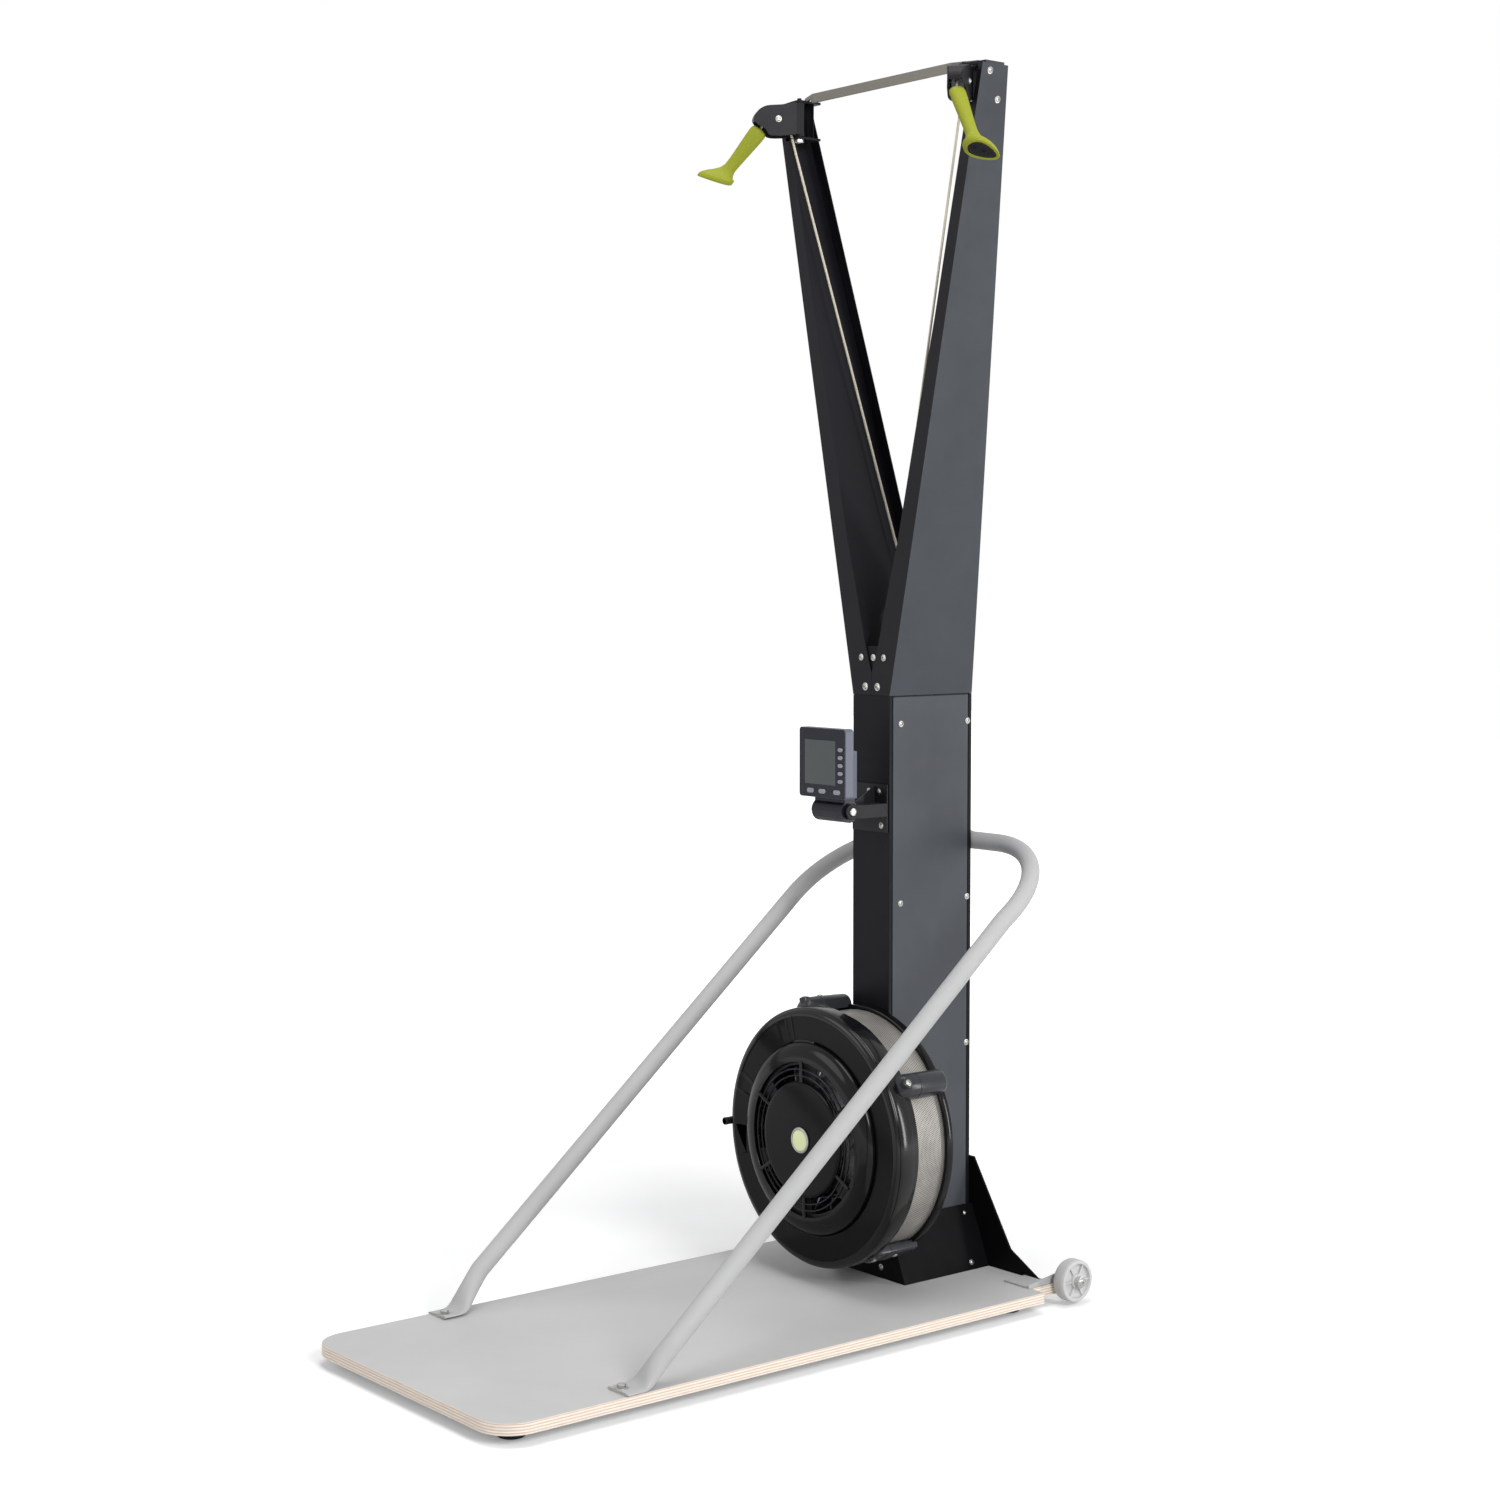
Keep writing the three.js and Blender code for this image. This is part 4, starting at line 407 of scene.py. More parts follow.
def case_material(name, face_tone, low_part):
    """Case plastic with a dark face, or dark below the back shell, and paler sides."""
    paint = Paint(name, 0.42, 0, 0.15, 0.1, 0.2)
    side = paint.clouds(paint.noise(9, 4.0), (96, 99, 113), 0.94, 1.06)
    face = paint.clouds(paint.noise(9, 4.0), face_tone, 0.92, 1.08)
    shell_bottom = 0.906
    dark = paint.where()[2] if low_part else paint.normal(1)
    dark = paint.calc("LESS_THAN", dark, shell_bottom if low_part else -0.7)
    paint.colour(paint.mix(dark, side, face))
    paint.rough(paint.noise(60), 0.38, 0.5)
    paint.bump(paint.noise(1400), 0.1, 0.0001)
    return paint


PAINTS = {
    "board": board_material(),
    "pale_steel": coated("pale_steel", (179, 179, 179), 0.6, 0.2, 700, 0.2, 0.04),
    "dark_steel": coated("dark_steel", (20, 20, 24), 0.44, 0.08),
    "foot_steel": coated("foot_steel", (11, 11, 13), 0.5, 0.06),
    "panel": panel_material(),
    "arm": arm_material(),
    "bright": bright("machined", (196, 197, 200), 0.28, (40, 900, 900)),
    "zinc": bright("zinc", (172, 170, 166), 0.34, (300, 300, 300)),
    "strip": bright("drawn_strip", (106, 103, 98), 0.42, (30, 700, 700)),
    "black": moulded("black_plastic", (30, 30, 33), 0.42, 0.14),
    "gloss": moulded("gloss_plastic", (8, 8, 9), 0.32, 0.02, 0.36, depth=0, coat_rough=0.12),
    "dull": moulded("dull_plastic", (11, 11, 12), 0.42, 0.02, 0.2, depth=0, coat_rough=0.16),
    "shell": shell_material(),
    "lug": moulded("lug_plastic", (45, 46, 50), 0.34, 0.1, 0.3, depth=0, coat_rough=0.16),
    "grey": moulded("grey_plastic", (128, 131, 136), 0.45, 0.5),
    "wheel": moulded("wheel_plastic", (196, 196, 196), 0.5, 0.4),
    "lime": moulded("lime_plastic", (143, 149, 44), 0.5, 0.15, depth=0, vary=0.06),
    "lime_pale": moulded("pale_lime_plastic", (238, 248, 190), 0.3, 0.5, 0.4, 1200, 0.1, 0.05),
    "case": case_material("case_plastic", (21, 22, 34), False),
    "case_side": case_material("back_plastic", (20, 20, 31), True),
    "key": moulded("key_plastic", (150, 154, 162), 0.55, 0.2, 0.0, 1800, 0.1, 0.04),
    "cord": cord_material(),
    "elastic": coated("elastic_sheath", (46, 46, 50), 0.8, 0.2, 1400, 0.8),
    "screen": screen_material(),
    "pit": coated("shaded_pit", (7, 7, 8), 0.9, 0.0, 900, 0.2),
    "rubber": rubber_material(),
    "display": display_material(),
}


# -------- mesh helpers
def moved(work, matrix):
    bmesh.ops.transform(work, matrix=matrix, verts=work.verts)


def join(work, part, matrix):
    """Adds a moved part to a bmesh."""
    moved(part, matrix)
    holder = bpy.data.meshes.new("holder")
    part.to_mesh(holder)
    part.free()
    work.from_mesh(holder)
    bpy.data.meshes.remove(holder)


def add_bevel(piece, width, segments=2):
    bevel = piece.modifiers.new("edges", "BEVEL")
    bevel.width = width / 1000
    bevel.segments = segments
    bevel.limit_method = "ANGLE"
    bevel.angle_limit = radians(30)


def finish_mesh(name, work, paint, body="frame", crease=34, bevel=0.0, segments=2, replaces=(), place=None):
    """A piece from a bmesh in millimetres, on a body; its edges over the crease angle stay sharp."""
    if place:
        moved(work, place)
    bmesh.ops.remove_doubles(work, verts=work.verts, dist=0.001)
    bmesh.ops.recalc_face_normals(work, faces=work.faces)
    limit = radians(crease)
    for face in work.faces:
        face.smooth = True
    for edge in work.edges:
        if len(edge.link_faces) == 2:
            edge.smooth = edge.calc_face_angle(0) < limit
    for vertex in work.verts:
        vertex.co = at(*vertex.co)
    mesh = bpy.data.meshes.new(name)
    work.to_mesh(mesh)
    work.free()
    mesh.materials.append(PAINTS[paint].material)
    piece = new_object(name, mesh)
    if bevel:
        add_bevel(piece, bevel, segments)
    if body:
        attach(piece, body)
    if replaces:
        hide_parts(*replaces)
    return piece


def keep(name, paint, bevel=0.8, segments=2):
    """A CAD node that stays: its material, and softened edges."""
    node = nodes[name]
    node.data.materials.clear()
    node.data.materials.append(PAINTS[paint].material)
    weld = node.modifiers.new("weld", "WELD")
    weld.merge_threshold = 0.00002
    add_bevel(node, bevel, segments)


def basis(axis):
    """The two cross directions of an axis, as outlines use them, and the axis itself."""
    x, y, z = Vector((1, 0, 0)), Vector((0, 1, 0)), Vector((0, 0, 1))
    return {"x": (y, z, x), "y": (x, z, y), "z": (x, y, z)}[axis]


def has_area(corners, digits):
    return len({tuple(round(c, digits) for c in corner.co) for corner in corners}) > 2


def skin(work, rings):
    """Faces between rings of equally many points, and one over each end."""
    made = [[work.verts.new(point) for point in ring] for ring in rings]
    count = len(rings[0])
    for first, second in zip(made, made[1:]):
        for i in range(count):
            j = (i + 1) % count
            corners = [first[i], first[j], second[j], second[i]]
            if has_area(corners, 4):
                work.faces.new(corners)
    for ring in (made[0], made[-1]):
        if has_area(ring, 3):
            work.faces.new(ring)


def lathe(work, axis, profile, centre=(0, 0, 0), angles=None, count=96, closed=True):
    """A profile of (radius, height) turned round an axis through centre; it may be a function of the angle."""
    u, v, w = basis(axis)
    rings = []
    for angle in angles or [TURN * i / count for i in range(count)]:
        points = profile(angle) if callable(profile) else profile
        out = u * cos(angle) + v * sin(angle)
        rings.append([work.verts.new(Vector(centre) + out * r + w * h) for r, h in points])
    size = len(rings[0])
    for i, first in enumerate(rings):
        second = rings[(i + 1) % len(rings)]
        for k in range(size if closed else size - 1):
            m = (k + 1) % size
            apart = [second[n] for n in (k, m) if (first[n].co - second[n].co).length >= 1e-6]
            if apart:
                work.faces.new([first[k], *apart, first[m]])


def turned(name, axis, profile, centre, paint, count=96, closed=True, angles=None, **rest):
    """A piece that is one turned profile."""
    work = bmesh.new()
    lathe(work, axis, profile, centre, angles, count, closed)
    finish_mesh(name, work, paint, **rest)


def prism(work, axis, outline, low, high):
    u, v, w = basis(axis)
    skin(work, [[u * a + v * b + w * h for a, b in outline] for h in (low, high)])


def arc(centre, radius, start, end, steps):
    turns = [start + (end - start) * i / steps for i in range(steps + 1)]
    return [(centre[0] + radius * cos(turn), centre[1] + radius * sin(turn)) for turn in turns]


def profile_arc(centre, radius, start, end, steps):
    """The same in degrees, in a turned profile of (radius, y); y runs to the rear."""
    return arc(centre, radius, radians(-start), radians(-end), steps)


def spline(points, steps):
    """A smooth run through points (Catmull-Rom)."""
    points = [Vector(p) for p in points]
    ends = [2 * points[0] - points[1]] + points + [2 * points[-1] - points[-2]]
    run = []
    for i in range(1, len(ends) - 2):
        a, b, c, d = ends[i - 1 : i + 3]
        for k in range(steps):
            t = k / steps
            square, cube = (2 * a - 5 * b + 4 * c - d) * t * t, (3 * b - 3 * c + d - a) * t**3
            run.append(0.5 * ((2 * b) + (c - a) * t + square + cube))
    run.append(points[-1])
    return run


def sweep(work, path, radius, count=16):
    """A round tube along a path, its section carried on without twisting."""
    path = [Vector(p) for p in path]
    tangents = []
    for i in range(len(path)):
        before = (path[i] - path[i - 1]).normalized() if i else Vector()
        after = (path[i + 1] - path[i]).normalized() if i < len(path) - 1 else Vector()
        tangents.append((before + after).normalized())
    side = tangents[0].orthogonal().normalized()
    turns = [TURN * k / count for k in range(count)]
    rings = []
    for point, tangent in zip(path, tangents):
        side = (side - tangent * side.dot(tangent)).normalized()
        other = tangent.cross(side)
        rings.append([point + (side * cos(turn) + other * sin(turn)) * radius for turn in turns])
    skin(work, rings)


def stack(work, place, direction, profile, count):
    """Rings of (radius, height) along a direction; a radius may be a function of the angle."""
    direction = Vector(direction).normalized()
    u = direction.orthogonal().normalized()
    v = direction.cross(u)
    rings = []
    for radius, height in profile:
        ring = []
        for k in range(count):
            turn = TURN * k / count
            reach = radius(turn) if callable(radius) else radius
            ring.append(Vector(place) + (u * cos(turn) + v * sin(turn)) * reach + direction * height)
        rings.append(ring)
    skin(work, rings)


def dome_screw(work, place, direction, radius, height):
    """A pan-head screw with a washer and a six-sided socket, its head pointing along direction."""
    def socket(turn):
        return radius * 0.36 / cos(turn % (TURN / 6) - TURN / 12)

    profile = [(radius * 1.35, -0.6), (radius * 1.35, 0.3), (radius * 1.3, 0.45), (radius, 0.5)]
    profile += [(radius * cos(a), 0.5 + (height - 0.5) * sin(a)) for a in (0.35, 0.75, 1.05)]
    profile += [(radius * 0.42, height), (socket, height), (socket, height * 0.35)]
    stack(work, place, direction, profile, 18)


# -------- deck, feet and wheels
def deck():
    half, rear, notch_x, notch_y = 286.5, 219, 255.5, 157.0
    front_radius, front_y, edge_radius, notch_radius = 60, -924, 3, 4
    outline = [(notch_x, rear), (-notch_x, rear)]
    outline += arc((-notch_x - notch_radius, notch_y + notch_radius), notch_radius, 0, -QUARTER, 5)
    outline += arc((-half + edge_radius, notch_y - edge_radius), edge_radius, QUARTER, 2 * QUARTER, 4)
    outline += arc((-half + front_radius, front_y), front_radius, 2 * QUARTER, 3 * QUARTER, 20)
    outline += arc((half - front_radius, front_y), front_radius, 3 * QUARTER, 4 * QUARTER, 20)
    outline += arc((half - edge_radius, notch_y - edge_radius), edge_radius, 0, QUARTER, 4)
    outline += arc((notch_x + notch_radius, notch_y + notch_radius), notch_radius, 3 * QUARTER, 2 * QUARTER, 5)
    work = bmesh.new()
    prism(work, "z", outline, -19, 0)
    finish_mesh("deck_plywood", work, "board", bevel=1.1, segments=3, replaces=("deck_board",))


def deck_feet():
    profile = [
        (0, -38), (19.5, -38), (21.4, -37.2), (22, -35.5), (21.2, -24), (21.2, -22), (20, -21), (19, -19.3),
        (0, -19.3),
    ]
    for end, y in (("front", -924), ("rear", 123)):
        for side, sign in SIDES:
            name, foot = f"turned_foot_{end}_{side}", f"deck_foot_{end}_{side}"
            turned(name, "z", profile, (sign * 226.5, y, 0), "rubber", 48, False, replaces=(foot,))


def tube_route():
    """The tube's middle line between its flat ends: straight runs with round bends."""
    corners = [Vector(p) for p in ((271, -718, 2.8), (275, -655, 63), (275, 60, 666), (275, 218, 775))]
    corners += [Vector((-p.x, p.y, p.z)) for p in reversed(corners)]
    points = []
    for before, corner, after, radius in zip(corners, corners[1:], corners[2:], (150, 300, 175, 175, 300, 150)):
        incoming = (corner - before).normalized()
        outgoing = (after - corner).normalized()
        turn = incoming.angle(outgoing)
        axis = incoming.cross(outgoing).normalized()
        start = corner - incoming * radius * tan(turn / 2)
        centre = start + axis.cross(incoming) * radius
        steps = max(4, round(24 * turn / QUARTER))
        points += [centre + Matrix.Rotation(turn * k / steps, 3, axis) @ (start - centre) for k in range(steps + 1)]
    return points


def stand_tube():
    """One bent tube, its two ends pressed flat into plates on the deck."""
    radius = 16
    foot = [
        ((262, -751, 2.9), 27, 2.5), ((262, -724, 2.9), 27, 2.5), ((262.6, -712, 4.4), 26, 4.0),
        ((264.6, -703, 10.0), 23.5, 8.0), ((267, -694, 20.0), 20.5, 12.0), ((269.2, -684, 31.5), 18.0, 14.6),
        ((271.2, -674, 43.0), 16.4, 15.8),
    ]
    ends = [(Vector(p), a, b) for p, a, b in foot]
    middle = [(p, radius, radius) for p in tube_route()[1:-1]]
    back = [(Vector((-p.x, p.y, p.z)), a, b) for p, a, b in reversed(ends)]
    stations = ends + middle + back
    rings = []
    side = Vector((1, 0, 0))
    for i, (point, wide, thick) in enumerate(stations):
        before = stations[max(i - 1, 0)][0]
        after = stations[min(i + 1, len(stations) - 1)][0]
        tangent = (after - before).normalized()
        side = (side - tangent * side.dot(tangent)).normalized()
        up = side.cross(tangent)
        power = 1 - 0.6 * (1 - min(1, thick / radius))
        ring = []
        for k in range(32):
            c, s = cos(TURN * k / 32), sin(TURN * k / 32)
            u = copysign(abs(c) ** power, c) * wide
            v = copysign(abs(s) ** power, s) * thick
            ring.append(point + side * u + up * v)
        rings.append(ring)
    work = bmesh.new()
    skin(work, rings)
    finish_mesh("bent_tube", work, "pale_steel", crease=50, replaces=("stand_tube",))
    for side_name, sign in SIDES:
        work = bmesh.new()
        place, up = (sign * 255.3, -739.3, 5.4), (0, 0, 1)
        stack(work, place, up, [(11.4, -0.4), (11.4, 1.2)], 24)
        stack(work, place, up, [(7.6, 1.0), (7.6, 5.61), (6.536, 6.6)], 6)
        finish_mesh(f"tube_bolt_{side_name}", work, "zinc", bevel=0.4)


def wheels():
    front = [
        (5.6, -12.8), (11.5, -12.8), (12.6, -12.2), (13.4, -7.4), (15, -6.6), (27.5, -6.6), (29.2, -7.2),
        (31, -12.4), (33, -13), (36, -12.2), (37.6, -9.5), (38, -6),
    ]
    profile = front + [(r, -h) for r, h in reversed(front)]
    spokes = 6
    for side, sign in SIDES:
        axle = (sign * 275, 238, 6)
        work = bmesh.new()
        lathe(work, "x", [(r, sign * h) for r, h in profile], axle, count=72)
        for k in range(spokes):
            spoke = bmesh.new()
            prism(spoke, "z", [(-10.2, 12.8), (10.2, 12.8), (10.2, 30.6), (-10.2, 30.6)], -1.5, 1.5)
            join(work, spoke, Matrix.Translation(axle) @ Matrix.Rotation(TURN * k / spokes, 4, "X"))
        finish_mesh(f"moulded_wheel_{side}", work, "wheel", f"wheel_{side}", replaces=(f"transport_wheel_{side}",))
        work = bmesh.new()
        dome_screw(work, (sign * (275 + 13.5 + 8), 238, 6), (sign, 0, 0), 7.6, 3.0)
        finish_mesh(f"wheel_bolt_{side}", work, "zinc")


# -------- cage
def cage_disc():
    profile = [
        (0, -163.2), (14, -163.2), (96, -163.2), (99.5, -163.0), (101.6, -162.0), (102.6, -160.2), (102.9, -157.4),
        (100.4, -157.4), (100.0, -160.0), (0, -160.4),
    ]
    turned("cage_disc", "y", profile, SHAFT, "dull", 120, False, replaces=("cage_front",))


def grille():
    """Two hoops and six bars over the grille's slots."""
    work = bmesh.new()
    for radius in (113.35, 124.7):
        lathe(work, "y", profile_arc((radius, -158.4), 1.7, 0, 360, 9)[:-1], SHAFT, count=120)
    bars, first_bar = 6, radians(92)
    for k in range(bars):
        bar = bmesh.new()
        outline = [(100, -3.4), (138.5, -3.4), (138.5, 3.4), (100, 3.4)]
        levels = ((1.0, -154.5), (1.0, -159.2), (0.72, -160.3), (0.2, -160.7))
        skin(bar, [[Vector((u, y, v * share)) for u, v in outline] for share, y in levels])
        join(work, bar, Matrix.Translation(SHAFT) @ Matrix.Rotation(-first_bar - TURN * k / bars, 4, "Y"))
    finish_mesh("cage_grille", work, "gloss", replaces=("cage_front",))


def bump(angle, centre, half, soft):
    """1 inside an angle range, 0 outside, with a short ramp."""
    off = abs((degrees(angle) - centre + 180) % 360 - 180)
    return min(1.0, max(0.0, (half + soft / 2 - off) / soft))


def even_angles(count, *marks):
    """Even steps round the circle, with close steps at the given angles."""
    angles = {round(360 * i / count, 3) for i in range(count)}
    for mark in marks:
        angles |= {round((mark + d) % 360, 3) for d in (-1.2, -0.6, 0, 0.6, 1.2)}
    return [radians(a) for a in sorted(angles)]


def cage_band():
    """Convex glossy band round the grille, with a raised tab near its top and a nick by the label panel."""
    def outline(angle):
        tab = bump(angle, 96, 9, 1.2)
        nick = bump(angle, 163, 1.2, 1.0)
        points = [(138.2, -150.5), (136.2, -153.5), (136.0, -156.4), (137.0, -158.2)]
        for i in range(1, 12):
            a = QUARTER * (1 - i / 12)
            points.append((139 + 32 * cos(a), -142 - 16.4 * sin(a)))
        points.append((170.9 + 1.6 * tab - 2.5 * nick, -141.6 - 1.6 * tab))
        points.append((171.4 + 3.0 * tab - 4 * nick, -139.8 - 1.4 * tab))
        return points + [(171.0, -137.6), (166, -137.6), (150, -146)]

    angles = even_angles(144, 87, 105, 161.8, 164.2)
    turned("cage_band", "y", outline, SHAFT, "gloss", angles=angles, crease=40, replaces=("cage_front",))


WEDGE = (182.6, 197.0)


def cage_face():
    """Flat face with a ribbed, sunk label panel and a wedge-shaped opening, round shoulder and side wall."""
    ribs = (104.4, 109.0, 116.2, 156.2, 164.2)
    flat = -140

    def outline(angle):
        panel = bump(angle, 136, 19.5, 0.8)
        step = max(bump(angle, 112.3, 3.4, 0.8), bump(angle, 160, 4.0, 0.8))
        rib = max(bump(angle, mark, 0.5, 0.6) for mark in ribs)
        around = degrees(angle) % 360
        wedge = WEDGE[0] <= around <= WEDGE[1]
        share = (around - WEDGE[0]) / (WEDGE[1] - WEDGE[0])
        inner, outer = (180.4 + 7.6 * share, 211.4 - 21.4 * share) if wedge else (184.2, 200.7)
        depth = 1.8 * panel + 0.8 * step - 1.3 * rib
        face = flat + depth
        floor = face + 7 * wedge
        points = [(172.2, -138.2), (172.6, -139.7), (173.6, flat), (175.0, flat + depth * 0.2), (176.2, face)]
        points += [(inner, face), (inner + 0.6, floor), (outer - 0.6, floor), (outer, face)]
        points += [(213.5, face), (215, flat + depth * 0.3)]
        points += profile_arc((218, -127), 13, 84, 40, 6)
        points += [(228.6, -134.0), (228.3, -133.2), (229.5, -133.0)]
        points += profile_arc((218, -127), 13, 22, 0, 4)
        points += [(231, -105.4), (230.4, -104), (222.8, -101.6), (221.8, -100.6), (221.4, -99), (221.4, -86.4)]
        points += [(220.8, -85.2), (219.4, -84.8), (215.4, -84.8), (213.2, -88), (214, -98), (219, -116)]
        return points + [(222, -126), (216, -134.6), (212.4, -132), (180, -132), (173, -136.9)]

    angles = even_angles(160, *ribs, *WEDGE)
    turned("cage_face", "y", outline, SHAFT, "shell", angles=angles, crease=32, replaces=("cage_front",))


def damper_slot():
    """Near-black pieces of painted shade: a strip in the slot round the side wall that the damper's lever runs in,
    and a sheet on the shaded floor of the wedge in the face.
    """
    work = bmesh.new()

    def strip(steps, start, reach, corners_at):
        rings = []
        for k in range(steps + 1):
            angle = radians(start + reach * k / steps)
            out = Vector((cos(angle), 0, sin(angle)))
            rings.append([Vector(SHAFT) + out * r + Vector((0, y, 0)) for r, y in corners_at(k / steps)])
        skin(work, rings)

    def slot(share):
        wide = 1.7 if 0 < share < 1 else 0.9
        return (227, -131 - wide), (231.2, -131 - wide), (231.2, -131 + wide), (227, -131 + wide)

    def pit(share):
        inner, outer = 181.2 + 7.4 * share, 210.6 - 21.2 * share
        return (inner, -133.3), (outer, -133.3), (outer, -132.6), (inner, -132.6)

    strip(18, 180.0, 31, slot)
    strip(12, 182.7, 14.2, pit)
    finish_mesh("damper_slot", work, "pit")


def damper_knob():
    angle, reach = radians(182), 238
    centre = (reach * cos(angle), 0, SHAFT[2] + reach * sin(angle))
    profile = [
        (0, -146), (5.2, -146), (6.4, -145.4), (7, -144.2), (7, -141), (6.4, -139.6), (6.4, -132), (7, -130),
        (7, -127.4), (6.2, -126.2), (0, -126),
    ]
    turned("damper_knob", "y", profile, centre, "black", 32, False, body="damper")


def cage_lugs():
    """Lugs over the screen, each with a boss: the two upper ones round with a seam, the two lower ones flat."""
    stations = [
        (-114.0, 15.0, 7.4), (-112.6, 17.0, 9.6), (-108.4, 19.4, 15.0), (-103.6, 21.0, 20.2), (-99.4, 21.8, 22.5),
        (-95.0, 22.0, 23.0), (-75.6, 21.8, 22.7), (-74.8, 21.0, 21.8), (-73.6, 21.0, 21.8), (-72.8, 21.8, 22.6),
        (-15.0, 20.8, 20.8), (-11.4, 20.0, 19.6), (-9.6, 18.4, 17.6),
    ]
    tallest = 23.0
    base, boss_y = 224, -101.5
    for number, around in enumerate((105, 31, -58, -148), 1):
        turn = Matrix.Translation(SHAFT) @ Matrix.Rotation(QUARTER - radians(around), 4, "Y")
        flat = number > 2
        rings = []
        for y, half, height in stations:
            crown, power = (height * 0.46, 0.35) if flat else (height, 0.85)
            ring = []
            for k in range(25):
                a = pi * k / 24
                across = half * copysign(abs(cos(a)) ** power, cos(a))
                ring.append(Vector((across, y, base + crown * sin(a) ** power)))
            foot = (219.4 if y > -100.8 else 226.4) - half * half / 450
            rings.append(ring + [Vector((-half, y, foot)), Vector((half, y, foot))])
        work = bmesh.new()
        skin(work, rings)
        top = base + tallest * (0.46 if flat else 1)
        boss = [(0, top + 0.8), (7.6, top + 0.8), (8.8, top), (9.4, top - 2), (9.6, 226)]
        lathe(work, "z", boss, (0, boss_y, 0), count=32, closed=False)
        finish_mesh(f"cage_lug_{number}", work, "lug", crease=38, replaces=("cage_front",), place=turn)
        work = bmesh.new()
        dome_screw(work, (0, boss_y, top + 0.8), (0, 0, 1), 4.2, 2.0)
        if flat or number == 1:
            dome_screw(work, (0, -52.0 if flat else -66.0, top - 0.1), (0, 0, 1), 4.2, 2.0)
        finish_mesh(f"lug_screw_{number}", work, "zinc", place=turn)


def cage_screen_and_rear():
    sheet = [(213.6, -86.5), (215, -86.5), (215, -14), (213.6, -14)]
    turned("perforated_screen", "y", sheet, SHAFT, "screen", 160, replaces=("cage_screen",))
    profile = [
        (215.4, -19), (221.4, -21), (222.9, -20.4), (223.5, -19), (223.5, -9), (222.9, -6.2), (220.9, -4.4),
        (218, -4), (150, -4), (148, -5.4), (144, -5.4), (142, -4), (40, -4), (40, -0.4), (16.4, -0.4), (16.4, -7),
        (200, -7), (214, -9),
    ]
    turned("rear_shell", "y", profile, SHAFT, "gloss", 160, replaces=("cage_rear",))


def hub():
    rim = [
        (0, -163.4), (22.4, -163.4), (23, -164), (23, -165.6), (21.6, -167.0), (19.6, -167.3), (18.8, -166.6),
        (18.6, -165.4), (0, -165.4),
    ]
    dome = [(18.5, -165.2), (18.4, -166.4), (14, -167.0), (7, -167.25), (0, -167.3)]
    for name, profile, paint in (("hub_rim", rim, "zinc"), ("hub_inlay", dome, "lime_pale")):
        turned(name, "y", profile, SHAFT, paint, 72, False, replaces=("hub_cap",))


# -------- pulley heads, handles and cords
HEAD_SPLAY = {-1: 30, 1: 36}
HEAD_PIN = (216, 14, 2081)
HANDLE_POSES = {"left": (36.7, 17, 0), "right": (17, 21.5, 140)}
HANDLE_LENGTH = 120
HANDLE_SEAT = Vector((0, -71.5, -16.5))
PULLEY_Y = -41
GUIDE_X, GUIDE_Z = 16, 1060
CORD_RADIUS = 2.2
CORD_TOP = {"left": (-220.5, 0.7), "right": (221, 2)}
CORD_Y = {"left": 141, "right": 31}


def head_frame(sign):
    """The place of a pulley head: its origin on the upright pin, its -y side leaning outward."""
    splay = Matrix.Rotation(sign * radians(HEAD_SPLAY[sign]), 4, "Z")
    return Matrix.Translation((sign * HEAD_PIN[0], *HEAD_PIN[1:])) @ splay


def handle_frame(side, sign):
    forward, outward, twist = [radians(value) for value in HANDLE_POSES[side]]
    seat = Matrix.Translation(HANDLE_SEAT)
    lean = Matrix.Rotation(-sign * outward, 4, "Y") @ Matrix.Rotation(-forward, 4, "X")
    return head_frame(sign) @ seat @ lean @ Matrix.Rotation(twist, 4, "Z")


def mirrored_profile(half):
    """A profile that ends at its middle, and its other half."""
    return half + [(r, -h) for r, h in reversed(half[:-1])]


